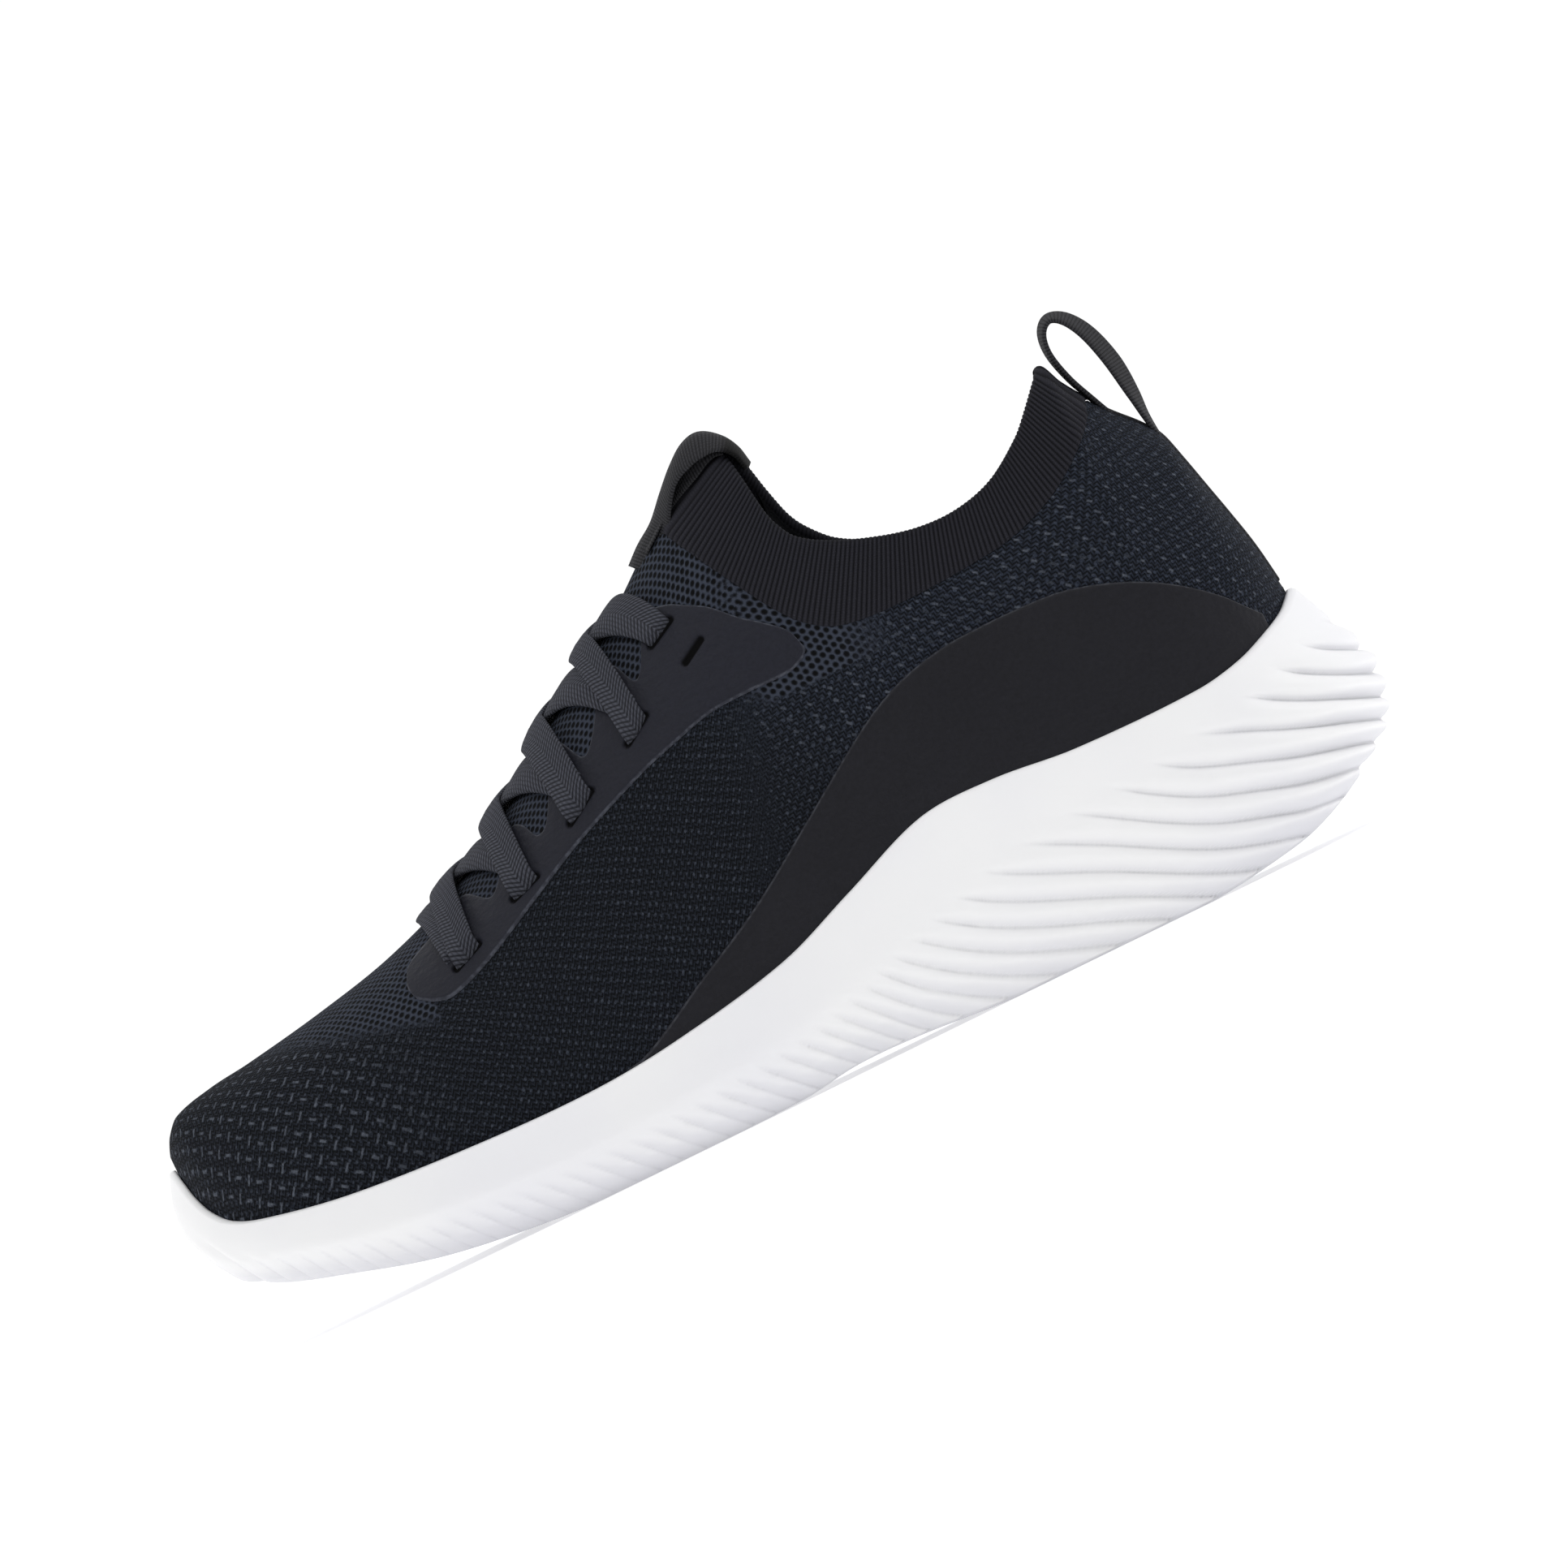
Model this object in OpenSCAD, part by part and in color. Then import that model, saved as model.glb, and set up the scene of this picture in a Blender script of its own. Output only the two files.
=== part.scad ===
// Left running shoe, slip-in knit upper on a thick foam sole.
// Toe towards -X, heel +X, the outer (lateral) side -Y, up +Z, ground at z = 0.

/* [Sole] */
// Widest half-width of the sole, at the ball of the foot
ball_r = 54; // [51:0.5:57]
// How far the toe swings to the inner side
toe_swing = 7; // [0:0.5:9]
// Depth of the recess that holds the outsole pads
pad_t = 2.2; // [1.5:0.1:3]

/* [Upper] */
// Thickness of the knit
knit_t = 2.4; // [1.5:0.1:3]
// Thickness of the fused overlays
film_t = 0.8; // [0.5:0.1:1.2]
// Clearance between layers
gap = 0.3; // [0.2:0.05:0.4]

/* [Flex line] */
// Place of the toe flex axis along the shoe
flex_x = -80; // [-84:1:-76]
// Height of the toe flex axis, level with the feather line
flex_z = 24.2; // [23.8:0.1:25]
// Room above the axis for the toe to lift, degrees
flex_room = 31; // [25:1:34]

/* [Straps] */
// Width of the heel pull loop's webbing
loop_w = 9; // [7:0.5:11]
// Width of the front pull tab
tab_w = 20; // [16:1:24]
// Width of the flat lace
lace_w = 7; // [6:0.5:8]

/* [Hidden] */

foam_white = [0.96, 0.96, 0.97];
rubber_white = [0.90, 0.90, 0.92];
knit_navy = [0.10, 0.12, 0.15];
film_grey = [0.20, 0.20, 0.22];
rib_grey = [0.17, 0.17, 0.19];
lace_grey = [0.23, 0.24, 0.25];
felt_grey = [0.45, 0.45, 0.47];
lining_black = [0.08, 0.08, 0.09];

// ---- Curves through a few points, smooth in between ----
function seg(p, x, i = 0) = (i >= len(p) - 2 || x < p[i + 1][0]) ? i : seg(p, x, i + 1);
function slope(p, i) =
    let (a = max(i - 1, 0), b = min(i + 1, len(p) - 1))
    (p[b][1] - p[a][1]) / (p[b][0] - p[a][0]);
function curve(p, x) =
    let (i = seg(p, x), h = p[i + 1][0] - p[i][0], t = min(max((x - p[i][0]) / h, 0), 1))
    (2*t*t*t - 3*t*t + 1) * p[i][1] + (t*t*t - 2*t*t + t) * h * slope(p, i)
    + (3*t*t - 2*t*t*t) * p[i + 1][1] + (t*t*t - t*t) * h * slope(p, i + 1);
function mix(a, b, t) = a + (b - a) * t;
function unit(v) = v / norm(v);

// ---- Plan outline: half-width from toe (0) to heel (1) ----
HALF = [[0, 0], [0.1, 25.5], [0.2, 43], [0.3, 52], [0.37, 54], [0.45, 50.5],
    [0.55, 42], [0.62, 39.5], [0.7, 41], [0.77, 42.8], [0.83, 39.5], [0.9, 28], [1, 0]];
SWING = [[-150, 1], [-120, 0.62], [-90, 0.28], [-60, 0.05], [-20, -0.2], [30, -0.35],
    [90, -0.1], [150, 0]];
function swing(x) = toe_swing * curve(SWING, x);
function bend(p) = [p[0], p[1] + swing(p[0]), p[2]];
// A contour is [toe end, heel end, inset at the ball]
function contour_x(c, s) = (c[0] + c[1]) / 2 - (c[1] - c[0]) / 2 * cos(180 * s);
function contour_y(c, s) = curve(HALF, s) * (ball_r - c[2]) / 54;

// ---- Side profiles: height along the shoe ----
BOTTOM = [[-150, 26], [-146, 22], [-139, 17], [-133, 14], [-120, 10], [-100, 4.5], [-80, 1.5],
    [-60, 0], [-10, 0.3], [5, 2], [20, 1.8], [45, 0], [92, 0], [110, 2], [122, 4.5], [136, 10.5],
    [150, 18]];
FEATHER = [[-146, 49], [-145, 45], [-144, 41], [-142, 36.5], [-138, 32.3], [-130, 29.5],
    [-110, 26], [-80, 23.8], [-52, 23.2], [-30, 25], [0, 30.5], [20, 38], [42, 46.2], [60, 46.8],
    [80, 44.8], [110, 44.6], [122, 46.6], [131, 50], [136, 52.5], [140, 56]];
FOOTBED = [[-138, 29], [-120, 21.5], [-100, 17.5], [-80, 15.6], [-50, 15], [0, 17], [50, 23],
    [100, 27], [135, 28.5]];
RIDGE = [[-146, 49.5], [-145, 52.5], [-143.5, 55.5], [-140, 59], [-130, 61.5], [-120, 62.7],
    [-100, 66], [-80, 70.5], [-60, 78], [-40, 90], [-20, 105], [0, 118.5], [20, 134],
    [30, 139], [37.5, 141.5], [50, 133], [65, 124], [85, 121.5], [100, 123.5], [111.5, 126],
    [114, 121], [118, 115], [122, 110], [127, 104.5], [130, 100], [132, 93], [134, 85],
    [136, 77], [138, 68], [139.6, 57]];
COLLAR = [[37.5, 141.5], [38.5, 135], [40, 124], [41.5, 119], [44, 115], [50, 111], [60, 107],
    [70, 104.5], [80, 104.3], [90, 107], [100, 113.5], [105, 118.5], [111.5, 126]];
RIB_EDGE = [[17, 131.7], [22, 122], [27, 113], [33, 103], [38, 97], [45, 93], [60, 91], [80, 91],
    [90, 92], [100, 95.5], [108, 100], [115, 107], [118.5, 114.3]];
ROUND = [[-146, 2.4], [-110, 2.3], [-60, 2.05], [0, 1.95], [40, 1.9], [100, 2], [140, 2.1]];
function bottom_z(x) = max(curve(BOTTOM, x), 0);
function feather_z(x) = curve(FEATHER, x);
function ridge_z(x) = max(curve(RIDGE, x), feather_z(x) + 0.4);

// ---- The upper's outer surface ----
// x runs along the shoe; a is an angle from the feather line (0) up to the ridge (90)
KNIT = [-145.5, 139.7, 4.9];
function along(c, x) = acos(min(max((c[0] + c[1] - 2 * x) / (c[1] - c[0]), -1), 1)) / 180;
function knit_y(x) = contour_y(KNIT, along(KNIT, x));
function skin0(x, a, side) =
    let (n = curve(ROUND, x), f = feather_z(x), h = ridge_z(x) - f)
    [x, side * knit_y(x) * pow(max(cos(a), 0), 2 / n), f + h * pow(max(sin(a), 0), 2 / n)];
// Angle at which the surface reaches height z
function angle_at(x, z) =
    let (n = curve(ROUND, x), f = feather_z(x), t = (z - f) / (ridge_z(x) - f))
    t >= 0.9999 ? 90 : asin(pow(max(t, 0), n / 2));
function normal(x, a, side) =
    let (e = 0.4, b = min(a, 89.2),
         u = skin0(min(x + e, 139.5), b, side) - skin0(max(x - e, -145.4), b, side),
         v = skin0(x, b + 0.7, side) - skin0(x, max(b - 0.7, 0), side),
         m = unit(cross(v, u) * side))
    a >= 89.99 ? unit([m[0], 0, m[2]]) : m;
function skin(x, a, side, off) = bend(skin0(x, a, side) - off * normal(x, a, side));

// ---- Solids from grids of points ----
function quad(a, b, c, d) = [[a, b, c], [a, c, d]];
// One-sided patch: the grid function gives [x, angle] for two fractions
module patch(na, nb, grid, side, outer, inner) {
    w = nb + 1;
    o = (na + 1) * w;
    pts = [for (off = [outer, inner], i = [0:na], j = [0:nb])
        let (g = grid(i / na, j / nb)) skin(g[0], g[1], side, off)];
    outside = [for (i = [0:na - 1], j = [0:nb - 1]) each
        quad(i * w + j, i * w + j + 1, (i + 1) * w + j + 1, (i + 1) * w + j)];
    inside = [for (f = outside) [o + f[0], o + f[2], o + f[1]]];
    ring = concat([for (i = [0:na]) i * w], [for (j = [1:nb]) na * w + j],
        [for (i = [na - 1:-1:0]) i * w + nb], [for (j = [nb - 1:-1:1]) j]);
    rim = [for (k = [0:len(ring) - 1]) let (a = ring[k], b = ring[(k + 1) % len(ring)]) each
        quad(a, b, o + b, o + a)];
    all = concat(outside, inside, rim);
    polyhedron(pts, side > 0 ? [for (f = all) [f[0], f[2], f[1]]] : all);
}

// Two-sided shell, joined over the ridge wherever the grid reaches 90 degrees.
// The ends are capped where the toe or heel closes, and open otherwise.
module shell(na, nb, grid, outer, inner, cap_start, cap_end) {
    w = nb + 1;
    o = (na + 1) * w;
    shut = [for (i = [0:na]) grid(i / na, 1)[1] > 89.99];
    pts = [for (off = [outer, inner], side = [-1, 1], i = [0:na], j = [0:nb])
        let (g = grid(i / na, j / nb)) skin(g[0], g[1], side, off)];
    function id(layer, side, i, j) =
        layer * 2 * o + ((side && !(j == nb && shut[i])) ? o : 0) + i * w + j;
    function strip(l, s, i, j) = quad(id(l, s, i, j), id(l, s, i, j + 1), id(l, s, i + 1, j + 1),
        id(l, s, i + 1, j));
    function turn(fs, yes) = yes ? [for (f = fs) [f[0], f[2], f[1]]] : fs;
    skins = [for (l = [0, 1], s = [0, 1], i = [0:na - 1], j = [0:nb - 1]) each
        turn(strip(l, s == 1, i, j), (l + s) % 2 == 1)];
    function edge(s, i, j, k, m) = turn(quad(id(0, s, i, j), id(0, s, k, m), id(1, s, k, m),
        id(1, s, i, j)), s);
    feet = [for (s = [false, true], i = [0:na - 1]) each edge(s, i, 0, i + 1, 0)];
    tops = [for (s = [false, true], i = [0:na - 1]) if (!(shut[i] && shut[i + 1])) each
        edge(s, i + 1, nb, i, nb)];
    function open_end(i, back) = [for (s = [false, true], j = [0:nb - 1]) each
        turn(edge(s, i, j + 1, i, j), back)];
    function cap(i, back) = turn([for (l = [0, 1], j = [0:nb - 1]) each
        turn(quad(id(l, false, i, j), id(l, true, i, j), id(l, true, i, j + 1),
            id(l, false, i, j + 1)), l == 1)], back);
    function sill(i, back) = turn(quad(id(0, false, i, 0), id(1, false, i, 0), id(1, true, i, 0),
        id(0, true, i, 0)), back);
    start = cap_start ? concat(cap(0, false), sill(0, false)) : open_end(0, false);
    end = cap_end ? concat(cap(na, true), sill(na, true)) : open_end(na, true);
    all = concat(skins, feet, tops, start, end);
    polyhedron(pts, [for (f = all) if (f[0] != f[1] && f[1] != f[2] && f[0] != f[2]) f]);
}

// ---- Sole ----
// Contours of the foam from the bottom edge up: [toe end, heel end, inset], height fraction
SIDE = [[[-139, 136, 8], 0.01], [[-146.3, 147.5, 2.8], 0.2], [[-150, 151, 0], 0.5],
    [[-149.8, 146.8, 1.2], 0.75], [[-147.2, 141.8, 3.2], 1]];
RIM = [-145.8, 140, 4.6];
LEDGE = [-141, 135, 9.5];
BED = [-134, 130, 13];
// The recess and the bed are this much deeper along the middle
dish = 0.3;
function foam_ring(s) =
    let (base = bottom_z(contour_x(SIDE[0][0], s)), top = feather_z(contour_x(RIM, s)),
         b = SIDE[0][0], y0 = contour_y(b, s))
    concat(
        [[contour_x(b, s), 0, base + pad_t + dish], [contour_x(b, s), y0 * 0.74, base + pad_t],
         [contour_x(b, s), y0 * 0.78, base]],
        [for (k = SIDE) [contour_x(k[0], s), contour_y(k[0], s), mix(base, top, k[1])]],
        [[contour_x(RIM, s), contour_y(RIM, s), top],
         [contour_x(RIM, s), contour_y(RIM, s), top - 3],
         [contour_x(LEDGE, s), contour_y(LEDGE, s), top - 3.2],
         [contour_x(BED, s), contour_y(BED, s), curve(FOOTBED, contour_x(BED, s))],
         [contour_x(BED, s), 0, curve(FOOTBED, contour_x(BED, s)) - dish]]);
// The ring at the flex line is flat, so both foams end on the same plane
function flat_ring(x) =
    [for (k = [0:12])
        let (c = k < 3 ? SIDE[0][0] : k < 8 ? SIDE[k - 3][0] : k < 10 ? RIM : k == 10 ? LEDGE : BED,
             r = foam_ring(along(c, x)))
        [x, r[k][1], r[k][2]]];
module foam(rings, flat_first) {
    n = len(rings);
    pts = [for (side = [-1, 1], r = rings, p = r) bend([p[0], side * p[1], p[2]])];
    o = n * 13;
    function id(side, i, k) = ((side == 1 && k > 0 && k < 12) ? o : 0) + i * 13 + k;
    sides = [for (s = [0, 1], i = [0:n - 2], k = [0:11]) let
        (q = quad(id(s, i, k), id(s, i + 1, k), id(s, i + 1, k + 1), id(s, i, k + 1)))
        each s == 1 ? [for (f = q) [f[0], f[2], f[1]]] : q];
    // A flat end closes each side on its own, from the bottom up to the bed
    function flat_end(i) = concat(
        [for (s = [0, 1]) each s == 0 ? end_side(i, 0) : [for (f = end_side(i, 1)) [f[0], f[2], f[1]]]]);
    function end_side(i, s) = concat(
        quad(id(s, i, 0), id(s, i, 1), id(s, i, 11), id(s, i, 12)),
        quad(id(s, i, 1), id(s, i, 2), id(s, i, 3), id(s, i, 11)),
        quad(id(s, i, 3), id(s, i, 4), id(s, i, 10), id(s, i, 11)),
        quad(id(s, i, 4), id(s, i, 5), id(s, i, 9), id(s, i, 10)),
        quad(id(s, i, 5), id(s, i, 6), id(s, i, 8), id(s, i, 9)),
        [[id(s, i, 6), id(s, i, 7), id(s, i, 8)]]);
    // A round end is a narrow strip that joins the two sides
    function round_end(i) = [for (k = [0:11]) each
        quad(id(0, i, k), id(0, i, k + 1), id(1, i, k + 1), id(1, i, k))];
    first = flat_first ? flat_end(0) : round_end(0);
    last = [for (f = flat_first ? round_end(n - 1) : flat_end(n - 1)) [f[0], f[2], f[1]]];
    all = concat(sides, first, last);
    polyhedron(pts, [for (f = all) if (f[0] != f[1] && f[1] != f[2] && f[0] != f[2]) f]);
}
flex_s = along([-146, 142, 0], flex_x);
module midsole_rear() {
    color(foam_white)
    foam(concat([flat_ring(flex_x + 0.2)],
        [for (i = [1:22]) foam_ring(mix(flex_s, 0.975, i / 22))]), true);
}
module midsole_forefoot() {
    color(foam_white)
    foam(concat([for (i = [0:10]) foam_ring(mix(0.03, flex_s, i / 11))],
        [flat_ring(flex_x - 0.2)]), false);
}

// Flat piece between two stations: half-width and the two heights follow the shoe
module slab(x0, x1, n, width, low, high) {
    xs = [for (i = [0:n]) mix(x0, x1, i / n)];
    fr = [-1, -0.5, 0, 0.5, 1];
    pts = [for (z = [0, 1], x = xs, f = fr)
        bend([x, f * width(x), z == 0 ? low(x) : high(x)])];
    o = len(xs) * 5;
    top = [for (i = [0:n - 1], j = [0:3]) each quad(o + i*5 + j, o + i*5 + j + 1,
        o + (i + 1)*5 + j + 1, o + (i + 1)*5 + j)];
    under = [for (f = top) [f[0] - o, f[2] - o, f[1] - o]];
    ring = concat([for (i = [0:n]) i * 5], [for (j = [1:4]) n * 5 + j],
        [for (i = [n - 1:-1:0]) i * 5 + 4], [3, 2, 1]);
    rim = [for (k = [0:len(ring) - 1]) let (a = ring[k], b = ring[(k + 1) % len(ring)]) each
        quad(b, a, o + a, o + b)];
    polyhedron(pts, concat(top, under, rim));
}
module pad(x0, x1, n) {
    color(rubber_white)
    slab(x0, x1, n, function(x) contour_y(SIDE[0][0], along(SIDE[0][0], x)) * 0.7,
        function(x) bottom_z(x), function(x) bottom_z(x) + pad_t - 0.15);
}
module outsole_heel_pad() { pad(58, 124, 12); }
module outsole_ball_pad() { pad(-74, 8, 14); }
module outsole_toe_pad() { pad(-130, -86, 10); }

BOARD = [-133, 129, 14.5];
function board_y(x) = contour_y(BOARD, along(BOARD, x));
module board(x0, x1, n, rise, t, inset) {
    slab(x0, x1, n, function(x) board_y(x) - inset,
        function(x) curve(FOOTBED, x) + rise, function(x) curve(FOOTBED, x) + rise + t);
}
module strobel_rear() { color(felt_grey) board(flex_x + 0.4, 126, 20, 0.25, 1.3, 0); }
module strobel_forefoot() { color(felt_grey) board(-130, flex_x - 0.4, 8, 0.25, 1.3, 0); }
module sockliner() { color(lining_black) board(flex_x + 1.5, 122, 20, 1.9, 4, 2.5); }
module sockliner_toe() { color(lining_black) board(-127, flex_x - 0.4, 8, 1.9, 4, 1.5); }

// ---- Upper ----
// Stations closer together towards a rounded end
function ease_in(t) = 1 - cos(90 * t);
function ease_out(t) = sin(90 * t);
// Front face of the wedge that folds as the toe lifts
function wedge_x(z, back) = flex_x - back - max(z - flex_z, 0) * tan(flex_room);
function wedge(a, back) =
    let (z1 = skin0(flex_x - 15, a, 1)[2], x1 = wedge_x(z1, back), z2 = skin0(x1, a, 1)[2])
    wedge_x(z2, back);
module knit_toe_box() {
    color(knit_navy)
    shell(14, 10, function(i, j) [mix(-145.2, wedge(90 * j, 0.4), ease_in(i)), 90 * j],
        0, knit_t, true, false);
}
module knit_flex_zone() {
    color(knit_navy)
    shell(4, 10, function(i, j) [mix(wedge(90 * j, 0.1) , flex_x + 0.1, i), 90 * j],
        0, knit_t, false, false);
}
function opening_z(x) = (x <= 17 || x >= 118.5) ? 999 : curve(RIB_EDGE, x) - gap;
STATIONS = [flex_x + 0.4, -70, -60, -50, -40, -30, -20, -10, 0, 8, 15, 16.6, 17.2, 19, 22, 27,
    33, 38, 45, 53, 61, 69, 77, 85, 93, 100, 106, 110, 114, 117, 118.4, 119, 121, 124, 127,
    130, 132, 134, 136, 137.6, 138.8, 139.4];
function station(i) = STATIONS[round(i * (len(STATIONS) - 1))];
module knit_rear() {
    color(knit_navy)
    shell(len(STATIONS) - 1, 10, function(i, j)
        let (x = station(i)) [x, j * angle_at(x, opening_z(x))], 0, knit_t, false, true);
}
module toe_puff() {
    color(felt_grey)
    shell(8, 8, function(i, j) [mix(-144.6, -124, ease_in(i)), 4 + 86 * j],
        knit_t + gap, knit_t + gap + 1, true, false);
}
module heel_counter() {
    color(felt_grey)
    shell(16, 7, function(i, j)
        let (x = mix(84, 138.9, ease_out(i)), top = mix(58, 84, ease_out(i)))
        [x, mix(2, angle_at(x, top), j)], knit_t + gap, knit_t + gap + 1.4, false, true);
}
RIB_STATIONS = [17.6, 19, 22, 26, 30, 34, 37.2, 37.9, 39, 41.5, 45, 50, 58, 66, 74, 82, 90, 98,
    104, 108, 110.5, 111.7, 113.5, 115.5, 117.3, 118.2];
function collar_z(x) = (x <= 37.5 || x >= 111.5) ? 999 : curve(COLLAR, x);
module collar_rib() {
    color(rib_grey)
    shell(len(RIB_STATIONS) - 1, 5, function(i, j)
        let (x = RIB_STATIONS[round(i * (len(RIB_STATIONS) - 1))])
        [x, mix(angle_at(x, curve(RIB_EDGE, x)), angle_at(x, collar_z(x)), j)],
        0, knit_t, false, false);
}
module collar_foam(side) {
    color(felt_grey)
    patch(10, 5, function(i, j) let (x = mix(56, 104, i), z = curve(RIB_EDGE, x))
        [x, mix(angle_at(x, z - 14 * sin(180 * i) - 1), angle_at(x, mix(z, curve(COLLAR, x), 0.7)), j)],
        side, knit_t + gap, knit_t + gap + 4);
}
module collar_foam_lateral() { collar_foam(-1); }
module collar_foam_medial() { collar_foam(1); }
module lining() {
    color(lining_black)
    shell(20, 8, function(i, j)
        let (x = mix(44, 138.2, ease_out(i)),
             top = x > 110 ? 999 : curve(COLLAR, x) - 3)
        [x, mix(3, angle_at(x, top), j)], knit_t + gap + 4.4, knit_t + gap + 5.2, false, true);
}

// ---- Overlays ----
EYE_TOP = [[-79, 62.5], [-77, 66.3], [-70, 70], [-59, 74.3], [-48, 77.6], [-38, 80.5], [-29, 85.5],
    [-20, 91], [-11, 96], [-2, 102], [3, 109], [8, 115.3], [15, 113], [20, 110], [25, 105],
    [30, 101], [34, 97], [35.5, 92.5]];
EYE_LOW = [[-79, 61.5], [-78, 59], [-74, 56.5], [-70, 56], [-60, 59.5], [-45, 67], [-30, 74.5],
    [-10, 82.5], [0, 85.5], [10, 88], [20, 88.5], [30, 88.5], [34, 90], [35.5, 91.5]];
SADDLE_TOP = [[-45, 23.8], [-38, 24.8], [-30, 28.5], [-20, 34], [0, 44.5], [20, 57.5], [40, 70.5],
    [50, 75], [60, 77.3], [70, 78], [90, 76.5], [100, 74], [110, 70], [118, 65.5], [125, 60],
    [129, 56], [134, 50.9]];
module eyestay(side) {
    color(film_grey)
    patch(26, 5, function(i, j) let (x = mix(-79, 35.5, mix(i, (1 - cos(180 * i)) / 2, 0.6)))
        [x, mix(angle_at(x, curve(EYE_LOW, x)), angle_at(x, curve(EYE_TOP, x)), j)],
        side, -gap - film_t, -gap);
}
module eyestay_lateral() { eyestay(-1); }
module eyestay_medial() { eyestay(1); }
module saddle(side) {
    color(film_grey)
    patch(26, 5, function(i, j) let (x = mix(-42, 131, i))
        [x, mix(angle_at(x, feather_z(x) + 0.6), angle_at(x, curve(SADDLE_TOP, x) + 0.4), j)],
        side, -gap - film_t, -gap);
}
module saddle_lateral() { saddle(-1); }
module saddle_medial() { saddle(1); }
module heel_seam_tape() {
    color(rib_grey)
    shell(14, 2, function(i, j) let (x = mix(128.5, 139.2, ease_out(i)))
        [x, mix(90 - 4.5 - 14 * i, 90, j)], -gap - film_t, -gap, false, false);
}

// ---- Lace: one flat cord, laced criss-cross through five pairs of slots ----
// Each point is [x, angle up the side in ninetieths, side, height above the knit]
SLOTS = [[-65, 62], [-46, 71.5], [-27, 80.5], [-7, 91.3], [7, 108.5]];
function slot_angle(k) = angle_at(SLOTS[k][0], SLOTS[k][1]);
// One strand from the slot of row k on one side, over the ridge, to the next row's far slot
function strand(k, side, lift) =
    let (a = SLOTS[k][0], b = SLOTS[k + 1][0], p = slot_angle(k), q = slot_angle(k + 1))
    [for (t = [0:0.125:1])
        let (away = t < 0.5)
        [mix(a, b, t), away ? mix(p, 90, 2 * t) : mix(90, q, 2 * t - 1), away ? side : -side,
         gap + film_t + 1 + lift * sin(180 * t)]];
module ribbon(route, width, t) {
    n = len(route);
    c = [for (r = route) skin(r[0], r[1], r[2], -r[3])];
    up = [for (r = route) normal(r[0], r[1], r[2])];
    pts = [for (i = [0:n - 1])
        let (d = unit(c[min(i + 1, n - 1)] - c[max(i - 1, 0)]), w = unit(cross(d, up[i])),
             m = unit(cross(w, d)))
        each [c[i] - w * width / 2 - m * t / 2, c[i] + w * width / 2 - m * t / 2,
            c[i] + w * width / 2 + m * t / 2, c[i] - w * width / 2 + m * t / 2]];
    sides = [for (i = [0:n - 2], k = [0:3]) each
        quad(4*i + k, 4*i + (k + 1) % 4, 4*i + 4 + (k + 1) % 4, 4*i + 4 + k)];
    e = 4 * (n - 1);
    polyhedron(pts, concat(sides, [[0, 2, 1], [0, 3, 2], [e, e + 1, e + 2], [e, e + 2, e + 3]]));
}
module lace() {
    color(lace_grey)
    for (k = [0:3]) {
        ribbon(strand(k, -1, 2.6), lace_w, 1.2);
        ribbon(strand(k, 1, 0.4), lace_w, 1.2);
    }
}

// ---- Straps: bands bent in the XZ plane ----
function place(p, t) =
    let (n = len(p) - 1, i = min(floor(t * n), n - 1), f = t * n - i,
         a = p[max(i - 1, 0)], b = p[i], c = p[i + 1], d = p[min(i + 2, n)])
    0.5 * (2 * b + (c - a) * f + (2*a - 5*b + 4*c - d) * f * f + (3*b - a - 3*c + d) * f * f * f);
module band(p, from, to, n, t, width) {
    c = [for (i = [0:n]) place(p, mix(from, to, i / n))];
    nrm = [for (i = [0:n]) let (d = unit(c[min(i + 1, n)] - c[max(i - 1, 0)])) [-d[1], d[0]]];
    translate([0, width / 2 + swing(c[0][0]), 0]) rotate([90, 0, 0]) linear_extrude(width)
        polygon(concat([for (i = [0:n]) c[i] + nrm[i] * t / 2],
            [for (i = [n:-1:0]) c[i] - nrm[i] * t / 2]));
}
LOOP = [[119.3, 114.5], [116.6, 121], [114.9, 128], [115.6, 133], [118.3, 135.3], [121.8, 133.6],
    [125, 128.5], [127.3, 120.5], [128.3, 112], [128.6, 105.5]];
module heel_loop() { color(lace_grey) band(LOOP, 0.167, 0.883, 30, 1.6, loop_w); }
module heel_loop_ends() {
    color(lace_grey) {
        band(LOOP, 0, 0.09, 4, 1.6, loop_w);
        band(LOOP, 0.946, 1, 4, 1.6, loop_w);
    }
}
TAB = [[8.6, 126.3], [12, 129.3], [17, 132.6], [22, 138], [26.5, 142.6], [31, 145.9], [35.5, 146.4],
    [39.2, 143.6]];
module tongue_tab() { color(film_grey) band(TAB, 0, 1, 28, 1.6, tab_w); }

midsole_rear();
midsole_forefoot();
outsole_heel_pad();
outsole_ball_pad();
outsole_toe_pad();
strobel_rear();
strobel_forefoot();
sockliner();
sockliner_toe();
knit_rear();
knit_flex_zone();
knit_toe_box();
toe_puff();
heel_counter();
collar_rib();
collar_foam_lateral();
collar_foam_medial();
lining();
eyestay_lateral();
eyestay_medial();
saddle_lateral();
saddle_medial();
heel_seam_tape();
lace();
tongue_tab();
heel_loop();
heel_loop_ends();
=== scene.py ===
import math

import bmesh
import bpy
import numpy as np
from mathutils import Matrix, Vector


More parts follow.
